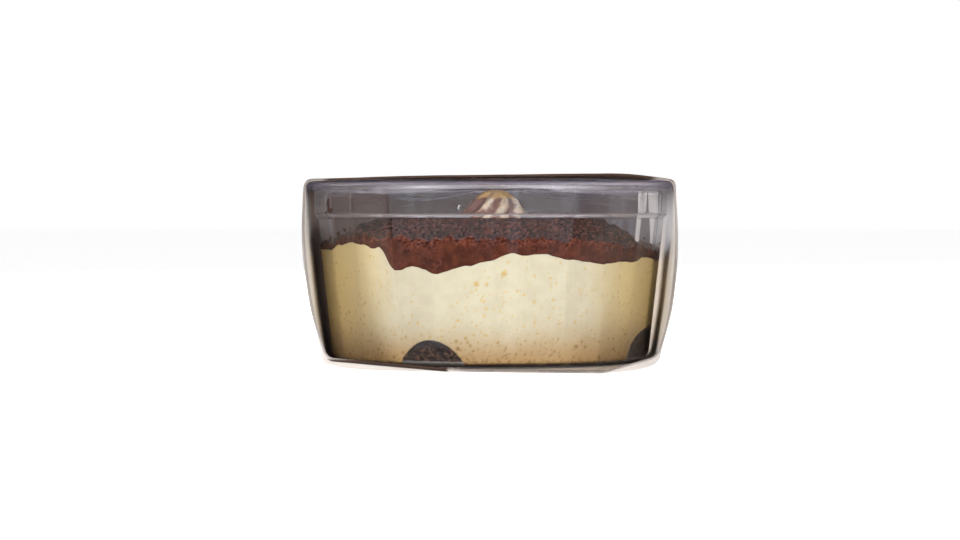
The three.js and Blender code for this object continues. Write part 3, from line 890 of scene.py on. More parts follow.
# %% Cocoa finish
def cocoa_finish():
    look = Finish("cocoa_layer")
    grain = look.noise(0.75, 4.0, 0.0, look.stretched(1.0, 3.0, 1.0))
    crumbly = look.step(grain, 0.4, 0.6)
    streaks = look.noise(0.6, 2.0, 0.3, look.stretched(4.0, 3.0, 1.0, (0.0, -0.6, 0.0)))
    dry = look.mix(crumbly, screen(46, 17, 11), screen(150, 92, 78))
    dry = look.mix(look.step(streaks, 0.5, 0.6, 0.0, 0.7), dry, screen(50, 23, 18))
    damp = look.step(look.noise(4.0, 4.0), 0.46, 0.6, 0.0, 0.75)
    dry = look.mix(damp, dry, look.mix(crumbly, screen(74, 31, 18), screen(128, 66, 46)))
    wet = look.blotch(2.6, 4.0, 0.35, 0.68, screen(62, 27, 15), screen(90, 45, 28))
    wet = look.mix(look.step(look.cells(2.4), 0.16, 0.05, 0.0, 0.7), wet, screen(52, 26, 22))
    wet = look.mix(look.share("edge"), wet, screen(74, 30, 20))
    border = look.math("MULTIPLY_ADD", look.noise(3.0, 5.0, 0.5), 1.4, look.share("wet"))
    wetness = look.step(look.math("MULTIPLY_ADD", grain, 1.1, border), 1.2, 2.5)
    return look.shade({
        "Base Color": look.mix(wetness, dry, wet), "Roughness": look.step(wetness, 0.0, 1.0, 0.92, 0.4),
        "Normal": look.bump(grain, 0.16, 0.9), "Specular IOR Level": 0.08,
    })


COCOA = cocoa_finish()

# %% [markdown]
# The rings of this layer start on the cream, climb the wall as the wet band, curl off the plastic
# and go inwards over the mound. Noise of three sizes gives the dusted relief, and the far left is
# rougher, because crumbs have piled up there.

# %% Cocoa layer
COCOA_COLUMNS = 600
COCOA_BAND_ROWS = 22
COCOA_TOP_ROWS = 86
COCOA_RELIEF = [(0.6, 3.4, 6.0), (0.42, 1.5, 2.0), (0.16, 0.6, 1.0)]  # depth, size and seed
COCOA_CURL = 0.25  # the upper edge of the wet band stands off the wall by this
COCOA_SINK = {"edge": 0.12, "middle": 0.1}  # how far it sinks into the cream
CRUMBS = {"right": (-30, -36), "left": (-43, -40), "height": 0.9}  # rougher far out on the left


def cocoa_piece():
    azimuth = columns_round(COCOA_COLUMNS)
    low, high = cream_line(azimuth) - COCOA_SINK["edge"], cocoa_line(azimuth)
    under = [
        polar(azimuth, s * wall_radius(azimuth, low), cream_top(azimuth, s) - COCOA_SINK["middle"])
        for s in (0.3, 0.6, 0.85, 0.95)
    ]
    band, wet, edge = [], [], []
    for share in np.linspace(0, 1, COCOA_BAND_ROWS):
        height = mix(low, high, share)
        hold = smooth(share, 1.0, 0.9)  # the last rows curl away from the wall
        reach = (REACH + OVERLAP) * hold - COCOA_CURL * (1 - hold)
        band.append(polar(azimuth, wall_radius(azimuth, height) + reach, height))
        wet.append(mix(0.35, 1.0, smooth(high - height, -0.5, 3.5)))
        edge.append(smooth(height - low, 0.5, 0.1))
    top, damp = [], []
    for share in np.linspace(0.992, 0.02, COCOA_TOP_ROWS):
        ring = polar(azimuth, share * wall_radius(azimuth, high), cocoa_top(azimuth, share))
        relief = sum(depth * rough(ring, size, seed) for depth, size, seed in COCOA_RELIEF)
        crumbs = smooth(ring[:, 0], *CRUMBS["right"]) * smooth(ring[:, 0], *CRUMBS["left"])
        relief += CRUMBS["height"] * crumbs * (rough(ring, 2.0, 12.0) + 0.35)
        ring[:, 2] += relief * smooth(share, 1.0, 0.95)
        top.append(ring)
        damp.append(np.full(COCOA_COLUMNS, 0.45 * smooth(share, 0.9, 1.0)))
    rings, first = [*under, *band, *top], len(under)
    points, faces = closed_skin(rings, (0, 0, CREAM_CROWN + SEAT), (0, 0, COCOA_CROWN + SEAT))
    return as_object(
        "cocoa_mound", points, faces, COCOA,
        wet=over_skin(rings, first, [*wet, *damp], before=1.0),
        edge=over_skin(rings, first, edge),
    )


cocoa_mound = cocoa_piece()

# %% [markdown]
# ## Loose cocoa grains
#
# Sieved cocoa lies in small clumps. They could be particles, but an export drops those. The
# Geometry Nodes tree below scatters points on the dry part of the mound, puts a low-poly ball on
# each with a random turn and size, and makes real faces of them all.

# %% Grains on the mound
GRAIN_SIZES = {
    "Grains per m2": 7.0e5,
    "Smallest": 0.07 * MM,
    "Largest": 0.26 * MM,
    "Seed": 11,
}
GRAIN_PLACES = {"wet_below": 0.3, "upright_above": 0.2}
FEW_LARGE = 2.6  # a higher power makes large grains rarer
ANY_TURN = ((0.0, 0.0, 0.0), (6.28, 6.28, 6.28))


def scattered(recipe):
    size = recipe.size
    wet = recipe.out("GeometryNodeInputNamedAttribute", {"Name": "wet"}, data_type="FLOAT")
    dry = recipe.math("LESS_THAN", wet, GRAIN_PLACES["wet_below"])
    facing = recipe.axes(recipe.out("GeometryNodeInputNormal"))["Z"]
    upward = recipe.math("GREATER_THAN", facing, GRAIN_PLACES["upright_above"])
    points = recipe.out("GeometryNodeDistributePointsOnFaces", {
        "Mesh": size["Geometry"], "Selection": recipe.math("MULTIPLY", dry, upward),
        "Density": size["Grains per m2"], "Seed": size["Seed"],
    })
    chance = {2: 0.0, 3: 1.0, "Seed": size["Seed"]}
    width = recipe.add("FunctionNodeRandomValue", chance, data_type="FLOAT").outputs[1]
    rare = recipe.math("POWER", width, FEW_LARGE)
    limits = {"To Min": size["Smallest"], "To Max": size["Largest"]}
    scale = recipe.out("ShaderNodeMapRange", {"Value": rare, **limits})
    return recipe.out("GeometryNodeInstanceOnPoints", {
        "Points": points, "Scale": scale, "Rotation": recipe.chance(*ANY_TURN),
        "Instance": recipe.out("GeometryNodeMeshIcoSphere", {"Radius": 1.0, "Subdivisions": 1}),
    })


def grain_finish():
    look = Finish("cocoa_grain")
    colour = look.blotch(0.7, 3.0, 0.35, 0.65, screen(50, 26, 22), screen(124, 86, 78))
    return look.shade({"Base Color": colour, "Roughness": 0.95, "Specular IOR Level": 0.2})


grain_recipe = Recipe("cocoa_grains", GRAIN_SIZES, takes_mesh=True)
grain_recipe.serve(scattered(grain_recipe), grain_finish())
cocoa_grains = grain_recipe.cook("cocoa_grains", cocoa_mound)

# %% [markdown]
# ## The piped swirl
#
# A star nozzle leaves ridges that lean as the bag turns. The swirl sits in the cocoa mound and
# its tip is pressed flat by the film. Cocoa dust lies between the ridges and leaves their crests
# pale, so the mesh stores how deep in a groove each point is, and the material dusts by that.

# %% Swirl finish
def swirl_finish():
    look = Finish("piped_swirl")
    grain = look.noise(0.5, 5.0)
    colour = look.blotch(1.6, 3.0, 0.35, 0.7, screen(238, 206, 172), screen(255, 240, 214))
    dust = look.math("MULTIPLY_ADD", look.noise(1.8, 4.0), 1.3, look.share("groove"))
    # painted shade and heavier dust on the swirl's left flank
    dust = look.math("MULTIPLY_ADD", look.share("dusty_side"), 0.8, dust)
    colour = look.mix(look.step(dust, 1.1, 1.55), colour, screen(138, 84, 64))
    colour = look.mix(look.step(grain, 0.6, 0.72), colour, screen(112, 72, 56))
    golden = look.blotch(1.2, 3.0, 0.35, 0.65, screen(255, 208, 128), screen(224, 170, 100))
    return look.shade({
        "Base Color": look.mix(look.share("pressed"), colour, golden),
        "Roughness": look.step(grain, 0.3, 0.7, 0.4, 0.7), "Normal": look.bump(grain, 0.12, 0.7),
        "Subsurface Weight": 0.15, "Subsurface Radius": (1.0, 0.6, 0.4), "Subsurface Scale": 1.0 * MM,
    })


SWIRL_CREAM = swirl_finish()

# %% [markdown]
# The ridges are a wave round the swirl, shifted more and more with height, so they lean. Folding
# the wave makes round crests and sharp valleys. The top is cut level where the film presses.

# %% Swirl
SWIRL = {"x": 1.3, "y": -1.0, "radius": 8.2, "floor": 37.2, "top": 45.85, "flank": 1.7, "tip": 0.75}
SWIRL_RIDGES = {"count": 8, "depth": 0.13, "turns": 1.15, "sharpness": 1.4}
SWIRL_PRESSED = (42.5, 43.3)  # the film presses on it from here up
SWIRL_COLUMNS = 320
SWIRL_ROWS = 90


def swirl_piece():
    turn = np.linspace(0, 360, SWIRL_COLUMNS, endpoint=False)
    level = 1 - np.linspace(1, 0.02, SWIRL_ROWS)[:, None] ** 1.25  # rows lie closer near the tip
    body = SWIRL["radius"] * (1 - level ** SWIRL["flank"]) ** SWIRL["tip"]
    wave = np.cos(np.radians(SWIRL_RIDGES["count"] * turn) - 2 * np.pi * SWIRL_RIDGES["turns"] * level)
    valley = np.abs(np.sin(np.arccos(np.clip(wave, -1, 1)) / 2)) ** SWIRL_RIDGES["sharpness"]
    radius = body * (1 + SWIRL_RIDGES["depth"] * (1 - valley * 2))
    rings = polar(turn, radius, mix(SWIRL["floor"], SWIRL["top"], level))
    rings += [SWIRL["x"], SWIRL["y"], 0]
    rings += 0.12 * rough(rings, 1.3, 3.0)[..., None] * np.array([1, 1, 0.3])
    rings[..., 2] = np.minimum(rings[..., 2], SWIRL["top"] + SEAT)
    poles = [(SWIRL["x"], SWIRL["y"], SWIRL[end] + SEAT) for end in ("floor", "top")]
    points, faces = closed_skin(rings, *poles)
    return as_object(
        "piped_swirl", points, faces, SWIRL_CREAM,
        groove=over_skin(rings, 0, valley),
        pressed=smooth(points[:, 2] - SEAT + 0.5 * rough(points, 1.2, 6.0), *SWIRL_PRESSED),
        # the left flank gets heavier cocoa dust and painted shade
        dusty_side=smooth(points[:, 0] - SWIRL["x"], -2.2, -3.6),
    )


piped_swirl = swirl_piece()

# %% [markdown]
# ## The film lid
#
# A peel film is sealed on the rim. It hangs like a tent: the swirl holds it up in the middle and
# it sags between swirl and rim, with creases that run towards the swirl. Cloth simulation would
# give such a shape too, but the sag is known, so a formula gives it directly and repeats exactly.

# %% How the film hangs
FILM = {"thickness": 0.09, "under": RIM["top"] + 0.05, "skirt": 47.85}
FILM_SAG = {"side": 2.9, "ends": 0.35, "flat_top": 0.02}
FILM_LEAN = {"left": 0.62, "right": 0.9}
FILM_CREASE = {"depth": 0.22, "count": 9, "twist": 3}
FILM_RIPPLE = {"depth": 0.07, "count": 31}
FILM_FOLD = {"half_width": 0.6, "depth": 0.6, "from": 2, "to": 6, "fade": 26, "end": 33}


def film_droop(azimuth, share):
    """How far the film hangs below the rim."""
    a = np.radians(azimuth)
    depth = mix(FILM_SAG["ends"], FILM_SAG["side"], np.sqrt(np.sin(a) ** 2 + 0.01) - 0.005)
    lean = mix(FILM_LEAN["left"], FILM_LEAN["right"], (1 + np.sin(a)) / 2)
    hang = np.sin(np.pi * smooth(share, FILM_SAG["flat_top"], 1) ** lean)
    crease = FILM_CREASE["depth"] * np.cos(FILM_CREASE["count"] * a + FILM_CREASE["twist"] * share)
    crease = crease * mix(0.35, 1, np.abs(np.sin(a)))
    fine = np.cos(FILM_RIPPLE["count"] * a + 5 * np.sin(3 * a) + 4 * share)
    fine = FILM_RIPPLE["depth"] * fine * smooth(share, 0.55, 0.95)
    return depth * hang + (crease + fine) * np.sin(np.pi * share)


def film_fold(points):
    """A sharp crease runs along the bottom of the sag on both sides of the swirl."""
    across = np.exp(-(points[..., 1] / FILM_FOLD["half_width"]) ** 2)
    aside = np.abs(points[..., 0] - SWIRL["x"])
    fade = smooth(aside, FILM_FOLD["end"], FILM_FOLD["fade"])
    return across * fade * smooth(aside, FILM_FOLD["from"], FILM_FOLD["to"])


print(f"the film sags {FILM_SAG['side']} mm at the sides and is {FILM['thickness']} mm thick")

# %% [markdown]
# The film is made from its middle outwards: the sagging field, the flat seal on the rim and the
# short skirt that was cut a little crooked. A copy of this skin, one film thickness further out,
# closes the sheet.

# %% Film
SEAL_RINGS = (46.6, 47.2, 47.6)
SKIRT_DROP = 1.9
SKIRT_WAVES = [(0.5, 4, -1.92), (0.3, 7, -2.18)]  # depth, count round the pot and phase
SKIRT_TRIM = {"from": 8, "to": 34, "least": 0.6}  # it is cut shorter in front, within these azimuths
SKIRT_FLARE = 0.12
SKIRT_ROWS = 9
FILM_COLUMNS = 400
FILM_ROWS = 70


def film_skin(azimuth):
    """The film's lower skin, ring by ring."""
    a = np.radians(azimuth)
    from_front = np.abs((azimuth + 180) % 360 - 180)
    skirt = SKIRT_DROP + sum(d * np.sin(n * a + p) for d, n, p in SKIRT_WAVES)
    skirt *= mix(SKIRT_TRIM["least"], 1, smooth(from_front, SKIRT_TRIM["from"], SKIRT_TRIM["to"]))
    rings = []
    for share in np.linspace(0.02, 1, FILM_ROWS):
        ring = polar(azimuth, share * RIM["inner"], FILM["under"] - film_droop(azimuth, share))
        ring[:, 2] += 0.1 * rough(ring, 7.0, 2.0) * math.sin(math.pi * share)
        ring[:, 2] -= FILM_FOLD["depth"] * film_fold(ring)
        rings.append(ring)
    rings += [polar(azimuth, radius, FILM["under"]) for radius in SEAL_RINGS]
    flare = SKIRT_FLARE * rough(polar(azimuth, 48.0, 0), 6.0, 5.0)
    for share in np.linspace(0.08, 1, SKIRT_ROWS):
        height = mix(FILM["under"], FILM["under"] - skirt, share)
        rings.append(polar(azimuth, FILM["skirt"] + flare * share, height))
    return np.array(rings)


def film_piece():
    azimuth = columns_round(FILM_COLUMNS)
    lower = film_skin(azimuth)
    normal = np.cross(np.gradient(lower, axis=1), np.gradient(lower, axis=0))
    normal /= np.linalg.norm(normal, axis=-1, keepdims=True)
    upper = lower + normal * FILM["thickness"] * np.sign(normal[5, 0, 2])
    rings = [*lower, *upper[::-1]]
    points, faces = closed_skin(rings, lower[0].mean(axis=0), upper[0].mean(axis=0))
    wave = np.sin(3.5 * np.radians(azimuth) + 2.2 * rough(lower, 11.0, 1.0))
    # the fold share paints a highlight line into the film's veil
    shares = {"crease": smooth(1 - np.abs(wave), 0.9, 1.0), "fold_highlight": film_fold(lower)}
    shares = {label: over_skin(rings, 0, [*skin, *skin[::-1]]) for label, skin in shares.items()}
    return as_object("peel_film", points, faces, FILM_PLASTIC, **shares)


peel_film = film_piece()

# %% [markdown]
# ## Cocoa smears on the plastic
#
# Filling a pot leaves marks above the food. On the left a few smears of cocoa stick to the inside
# of the band and the ledge. Each is a thin, ragged blot that lies on the plastic.

# %% Smears
SMEARS = [  # azimuth, height, width, height of the blot
    (-63.4, 40.9, 0.9, 1.6), (-62.2, 39.5, 1.3, 0.7), (-65.4, 39.0, 0.8, 0.5), (-72.5, 41.6, 0.5, 0.7),
    (-75.0, 38.9, 1.1, 0.3), (-70.0, 38.8, 0.8, 0.3), (-59.8, 33.6, 1.0, 0.6), (-55.5, 34.6, 0.8, 0.5),
    (-66.0, 32.4, 0.7, 0.5), (62.0, 32.4, 0.7, 0.4), (-52.0, 35.2, 0.5, 0.4), (84.0, 31.0, 0.9, 0.5),
]
SMEAR_SIDES = 26
SMEAR_RINGS = ((0.15, 0.16), (0.45, 0.14), (0.75, 0.09), (1.0, -0.06))  # share of the size, thickness
SMEAR_ARC = 46  # radius that turns mm into degrees
BAND_INSIDE = [BODY_TOP[1], BAND_FOOT[1] + WALL / 3, BAND_TOP[1]], [  # heights, then radii
    BODY_TOP[0] - WALL, BAND_FOOT[0] - WALL, BAND_TOP[0] - WALL,
]
SMEAR_WETNESS = 0.8


def smear_piece():
    points, faces = [], []
    turn = np.linspace(0, 2 * np.pi, SMEAR_SIDES, endpoint=False)
    for number, (azimuth, height, wide, tall) in enumerate(SMEARS):
        circle = [Vector((math.cos(t) * 1.7, math.sin(t) * 1.7, number)) for t in turn]
        ragged_edge = 1 + 0.45 * np.array([noise.noise(place) for place in circle])
        rings = []
        for share, lift in SMEAR_RINGS:
            up = height + share * tall * ragged_edge * np.sin(turn)
            own = azimuth + np.degrees(share * wide * ragged_edge * np.cos(turn) / SMEAR_ARC)
            band = np.interp(up, *BAND_INSIDE) * facet_share(own)
            rings.append(polar(own, np.where(up < BODY_TOP[1], wall_radius(own, up), band) - lift, up))
        blot, blot_faces = closed_skin(rings, rings[0].mean(axis=0), rings[-1].mean(axis=0))
        faces += [[len(points) + corner for corner in face] for face in blot_faces]
        points += list(blot)
    return as_object("cocoa_smears", points, faces, COCOA, wet=np.full(len(points), SMEAR_WETNESS))


cocoa_smears = smear_piece()

# %% [markdown]
# ## The carton sleeve
#
# The sleeve is one strip of half-millimetre board, folded round and glued. The pot's rim pushes
# its sides out in the middle. Its outline is a chain of corners with rounded folds, and each
# corner has a place at mid-length and at both ends, as in the CAD source.
#
# The board is pale, with a dark brown print on the top. The print goes round the cut edge and
# shows at the near end of the lower left flap. Its colour is also painted under the top for a
# little way, as the shade under the top's front edge. Inside, the bare board is painted browner
# towards the far end on the left and greyer at the near end, both as painted shade.

# %% Board finishes
BOARD = 0.5
SLEEVE_LENGTH = 100.0
TOP_PRINT = {"height": 47.6, "side": 40.8, "inside_from": -24.0}  # it ends at the folds and at this Y
FLAP_PRINT = {"right": -10.5, "height": 3.5, "depth": 2.2}  # its right end, top and reach along Y
NEAR_SHADE = {"start": -45, "soft": -5}
FAR_SHADE = {"start": -8, "soft": 18, "side": 20, "least": 0.2}
INK = screen(64, 48, 41)
PALE_INK = tuple(min(1, 1.3 * part) for part in INK)


def inside_shade_and_tint(look, colour):
    """The inside of the board: painted shade far in on the left and at the near end, a cool tint under the
    top.
    """
    x, y, z = look.axes(look.place)
    # painted shade: browner far into the sleeve, mostly on the left
    side = look.step(x, FAR_SHADE["side"] * MM, -FAR_SHADE["side"] * MM, FAR_SHADE["least"], 1.0)
    far_shade_mask = look.math("MULTIPLY", look.past(y, FAR_SHADE["start"], FAR_SHADE["soft"]), side)
    colour = look.mix(far_shade_mask, colour, screen(138, 118, 104))
    colour = look.mix(look.past(z, TOP_PRINT["height"] - 1, 1), colour, screen(208, 203, 220))
    # painted shade: greyer at the near end
    return look.mix(look.past(y, NEAR_SHADE["start"], NEAR_SHADE["soft"]), colour, screen(168, 161, 157))


def print_and_shade_mask(look, face):
    """1 where the print colour lies on the board and 0 where it is bare. Under the top it is also painted
    shade.
    """
    x, y, z = look.axes(look.place)
    if face == "outer":
        field = look.past(z, TOP_PRINT["height"], 0.15)
    else:
        within = look.past(look.math("ABSOLUTE", x), TOP_PRINT["side"], -1.2)
        field = look.math("MULTIPLY", look.past(z, TOP_PRINT["height"] - BOARD, 0.15), within)
    # on the inner face the print colour runs under the top's front edge as painted shade
    if face == "inner":
        return look.math("MULTIPLY", field, look.past(y, TOP_PRINT["inside_from"], -1))
    left, low = look.past(x, FLAP_PRINT["right"], -0.5), look.past(z, FLAP_PRINT["height"], -0.4)
    near = look.past(y, FLAP_PRINT["depth"] - SLEEVE_LENGTH / 2, -0.6)
    flap = look.math("MULTIPLY", look.math("MULTIPLY", left, low), near)
    return look.math("MAXIMUM", field, flap)


def board_finish(name, face, dark, light, roughness, fibre):
    """Fibrous board, cloudy over centimetres and streaky along the sleeve."""
    look = Finish(name)
    cloud = look.noise(14.0, 3.0)
    cloudy = look.step(cloud, 0.3, 0.7)
    fibres = look.noise(0.9, 5.0, 0.6, look.stretched(1.0, 0.35, 1.0))
    colour = look.mix(cloudy, dark, light)
    colour = look.mix(look.step(fibres, 0.56, 0.72, 0.0, 0.35), colour, dark)
    if face == "inner":
        colour = inside_shade_and_tint(look, colour)
    colour = look.mix(print_and_shade_mask(look, face), colour, look.mix(cloudy, INK, PALE_INK))
    return look.shade({
        "Base Color": colour, "Roughness": roughness, "Specular IOR Level": 0.15,
        "Normal": look.bump(look.math("ADD", fibres, cloud), fibre, 0.5),
    })


BARE_BOARD = board_finish("bare_board", "inner", screen(232, 225, 219), screen(248, 243, 238), 0.85, 0.05)
OUTER_BOARD = board_finish("outer_board", "outer", screen(196, 189, 184), screen(210, 204, 199), 0.8, 0.03)
BOARD_EDGE = board_finish("board_edge", "cut", screen(134, 125, 119), screen(162, 154, 149), 0.95, 0.1)

# %% [markdown]
# The outline can be asked for at any station along the sleeve. Each corner moves from its place at
# mid-length to its place at the end, at first slowly and then faster, and a short curve rounds
# each fold. Evenly spaced points make the rings of all stations match.

# %% Outline of the sleeve
SLEEVE_CORNERS = [  # X and Z at mid-length and at both ends, how they change, reach of the fold
    dict(mid=(40.8, 0), near=(28, 0), far=(28, 0), bow=4, lift=6, reach=0.9),
    dict(mid=(43.8, 1.2), near=(41.6, 3.9), far=(41, 3.4), bow=2, lift=6, reach=2.2),
    dict(mid=(46.1, 15), near=(45, 14.8), far=(44.8, 14.8), bow=1.25, lift=2, reach=5),
    dict(mid=(48, 32), near=(46.8, 31), far=(46.6, 31), bow=1.25, lift=2, reach=7),
    dict(mid=(49.4, 48.6), near=(45.7, 48), far=(45.6, 48.2), bow=1.25, lift=2, reach=2.4),
    dict(mid=(22, 49.1), near=(34, 49.5), far=(16, 47.9), bow=2, lift=6, reach=5),
    dict(mid=(-18, 49.1), near=(-20, 49), far=(-16, 47.9), bow=2, lift=6, reach=12),
    dict(mid=(-49.4, 48.6), near=(-46, 47.9), far=(-45.6, 48.2), bow=1.25, lift=2, reach=2.4),
    dict(mid=(-48, 32), near=(-46.8, 32), far=(-46.6, 31), bow=1.25, lift=2, reach=7),
    dict(mid=(-46.1, 15), near=(-44.4, 15), far=(-44.8, 14.8), bow=1.25, lift=2, reach=5),
    dict(mid=(-43.8, 1.2), near=(-40.6, 3.5), far=(-41, 3.4), bow=2, lift=6, reach=2.2),
    dict(mid=(-40.8, 0), near=(-4, 0.3), far=(-28, 0), bow=4, lift=6, reach=0.9),
]
SLEEVE_POINTS = 420
FOLD_STEPS = 10


def sleeve_outline(at):
    """The outer outline at one station, as evenly spaced X and Z. at runs from -1 to 1."""
    corners = []
    for corner in SLEEVE_CORNERS:
        end = corner["near"] if at < 0 else corner["far"]
        x = mix(corner["mid"][0], end[0], abs(at) ** corner["bow"])
        corners.append((x, mix(corner["mid"][1], end[1], abs(at) ** corner["lift"])))
    corners = np.array(corners)
    t = np.linspace(0, 1, FOLD_STEPS)[:, None]
    chain = []
    for i, corner in enumerate(corners):
        sides = [corners[i - 1] - corner, corners[(i + 1) % len(corners)] - corner]
        reach = SLEEVE_CORNERS[i]["reach"]
        before, after = (corner + side * reach / np.linalg.norm(side) for side in sides)
        chain.append((1 - t) ** 2 * before + 2 * t * (1 - t) * corner + t ** 2 * after)
    chain = np.concatenate([*chain, chain[0][:1]])
    run = np.concatenate([[0], np.cumsum(np.linalg.norm(np.diff(chain, axis=0), axis=1))])
    even = np.linspace(0, run[-1], SLEEVE_POINTS, endpoint=False)
    return np.stack([np.interp(even, run, chain[:, k]) for k in (0, 1)], axis=1)


def inward(outline, depth):
    along = np.roll(outline, -1, axis=0) - np.roll(outline, 1, axis=0)
    along /= np.linalg.norm(along, axis=1, keepdims=True)
    return outline + depth * np.stack([-along[:, 1], along[:, 0]], axis=1)


print("the near end is", np.ptp(sleeve_outline(-1.0), axis=0).round(1), "mm wide and high")

# %% [markdown]
# The sleeve's rings run along the inside, over the far cut, back along the outside and over the
# near cut, so that the board is closed. Stations lie closer near both ends, where the outline
# changes fastest. Board isn't quite flat, and its cut edge is nibbled.

# %% Sleeve
SLEEVE_STATIONS = 96
CUT_SWELL = np.array([0, 0.06, 0])
NIBBLE = 0.1


def sleeve_piece():
    outside, inside = [], []
    for at in np.sin(np.linspace(-np.pi / 2, np.pi / 2, SLEEVE_STATIONS)):
        outline = sleeve_outline(at)
        y = np.full(SLEEVE_POINTS, at * SLEEVE_LENGTH / 2)
        cut = np.stack([outline[:, 0], y, outline[:, 1]], axis=1)
        wave = 0.1 * rough(cut, 22, 3.0) + 0.035 * rough(cut, 5, 8.0)
        wave = wave * smooth(np.abs(outline[:, 1]), 0.0, 3.0)  # the base stays flat
        nibble = NIBBLE * rough(cut, 1.6, 4.0) * smooth(abs(at), 0.985, 1)
        for rings, depth in ((outside, wave), (inside, BOARD + wave)):
            shaped = inward(outline, depth[:, None])
            rings.append(np.stack([shaped[:, 0], y + nibble, shaped[:, 1]], axis=1))
    far_cut = (outside[-1] + inside[-1]) / 2 + CUT_SWELL
    near_cut = (outside[0] + inside[0]) / 2 - CUT_SWELL
    rings = [*inside, far_cut, *outside[::-1], near_cut]
    points = np.concatenate(rings)
    points[:, 2] = np.maximum(points[:, 2], 0)
    piece = as_object("carton_sleeve", points, ring_faces(len(rings), SLEEVE_POINTS, joined=True), BARE_BOARD)
    piece.data.materials.append(OUTER_BOARD)
    piece.data.materials.append(BOARD_EDGE)
    strip = np.repeat(np.arange(len(rings)), SLEEVE_POINTS)
    n = SLEEVE_STATIONS
    kind = np.select([strip < n - 1, strip < n + 1, strip < 2 * n], [0, 2, 1], 2)
    piece.data.polygons.foreach_set("material_index", kind.astype(np.int32))
    return piece


carton_sleeve = sleeve_piece()

# %% [markdown]
# ## Torn fibres on the cut edge
#
# Board cut by a blunt die shows short pale fibres along its lower edge. They repeat along a
# path, so Geometry Nodes place them: a thin strand for each, with its own turn and length.

# %% Fibres
FIBRE_SIZES = {
    "Count": 150,
    "Length": 0.55 * MM,
    "Width": 0.07 * MM,
    "Seed": 4,
}
FIBRE_CHANCE = {  # least and most along X, Y and Z: metres, radians and factors
    "Offset": ((-0.0004, -0.0002, -0.00016), (0.0004, 0.0001, 0.00022)),
    "Rotation": ((-0.5, -1.2, -1.4), (0.6, 1.2, 1.4)),
    "Scale": ((0.3, 0.5, 0.5), (1.6, 1.8, 1.6)),
}
FIBRE_PATH = {"from": -12, "to": 31, "below": 4, "lift": 0.45}


def frayed(recipe):
    size = recipe.size
    chance = {label: recipe.chance(*limits) for label, limits in FIBRE_CHANCE.items()}
    edge = recipe.out("GeometryNodeMeshToCurve", {"Mesh": size["Geometry"]})
    spots = recipe.out("GeometryNodeResampleCurve", {"Curve": edge, "Count": size["Count"]})
    loose = recipe.out("GeometryNodeSetPosition", {"Geometry": spots, "Offset": chance["Offset"]})
    strand = recipe.out("GeometryNodeMeshCylinder", {
        "Vertices": 5, "Side Segments": 3, "Radius": size["Width"], "Depth": size["Length"],
    })
    lying = recipe.out("GeometryNodeTransform", {"Geometry": strand, "Rotation": (0.0, math.pi / 2, 0.0)})
    return recipe.out("GeometryNodeInstanceOnPoints", {
        "Points": loose, "Instance": lying, "Rotation": chance["Rotation"], "Scale": chance["Scale"],
    })


def edge_path():
    """The lower near edge of the sleeve, as a chain of edges for the fibres to follow."""
    x, z = sleeve_outline(-1.0).T
    low = (z < FIBRE_PATH["below"]) & (x > FIBRE_PATH["from"]) & (x < FIBRE_PATH["to"])
    places = [(a, -SLEEVE_LENGTH / 2, b + FIBRE_PATH["lift"]) for a, b in sorted(zip(x[low], z[low]))]
    mesh = bpy.data.meshes.new("edge_path")
    mesh.from_pydata((np.array(places) * MM).tolist(), [(i, i + 1) for i in range(len(places) - 1)], [])
    return bpy.data.objects.new("edge_path", mesh)


path_object = edge_path()
fibre_recipe = Recipe("edge_fibres", FIBRE_SIZES, takes_mesh=True)
fibre_recipe.serve(frayed(fibre_recipe), BOARD_EDGE)
edge_fibres = fibre_recipe.cook("edge_fibres", path_object)
bpy.data.objects.remove(path_object)

# %% [markdown]
# ## Putting the pieces in the frame
#
# Every piece rides on the model's one body. The table also lists the CAD nodes that it stands for,
# whose imported parts are hidden, and the name of a material slot of the record, which nothing here uses.

# %% Pieces, nodes and slots
PLACES = [
    (pot_piece, "clear_plastic", ["pot"]),
    (peel_film, "lid_film", ["film_lid"]),
    (cream_body, "mascarpone_cream", ["cream"]),
    (cocoa_mound, "cocoa", ["cocoa_layer"]),
    (cocoa_grains, "cocoa", []),
    (cocoa_smears, "cocoa", []),
    (sponge_pieces["sponge_front"], "soaked_sponge", ["sponge_front"]),
    (sponge_pieces["sponge_right"], "soaked_sponge", ["sponge_right"]),
    (piped_swirl, "swirl_cream", ["cream_swirl"]),
    (carton_sleeve, "carton_board", ["sleeve"]),
    (edge_fibres, "carton_board", []),
]
for piece, slot, nodes in PLACES:
    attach(piece, "root")
    if nodes:
        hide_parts(*nodes)
print(len(PLACES), "pieces ride on the root body")

# %% [markdown]
# ## Floor and dark card
#
# The pack stands on a plain white floor, which glows a little so that it stays white to its far
# end. A dark card stands behind the far end of the sleeve and shows only through the clear
# plastic, where it makes the headspace dark. The card glows with painted shade, brownish on the
# left and greyer on the right.

# %% Floor and card
FLOOR_REACH = 6.0
FLOOR_GLOW = 0.72
CARD = {"half": 0.2, "y": 0.14, "height": 0.12, "fade": 0.06}


def sheet(name, corners, material):
    mesh = bpy.data.meshes.new(name)
    mesh.from_pydata(corners, [], [(0, 1, 2, 3)])
    mesh.materials.append(material)
    return in_scene(name, mesh)


def floor_finish():
    look = Finish("pale_floor")
    tone = look.mix(look.noise(60.0, 2.0), screen(252, 252, 252), screen(254, 254, 254))
    glow = {"Emission Color": WHITE, "Emission Strength": FLOOR_GLOW}
    return look.shade({"Base Color": tone, "Roughness": 0.9, **glow})


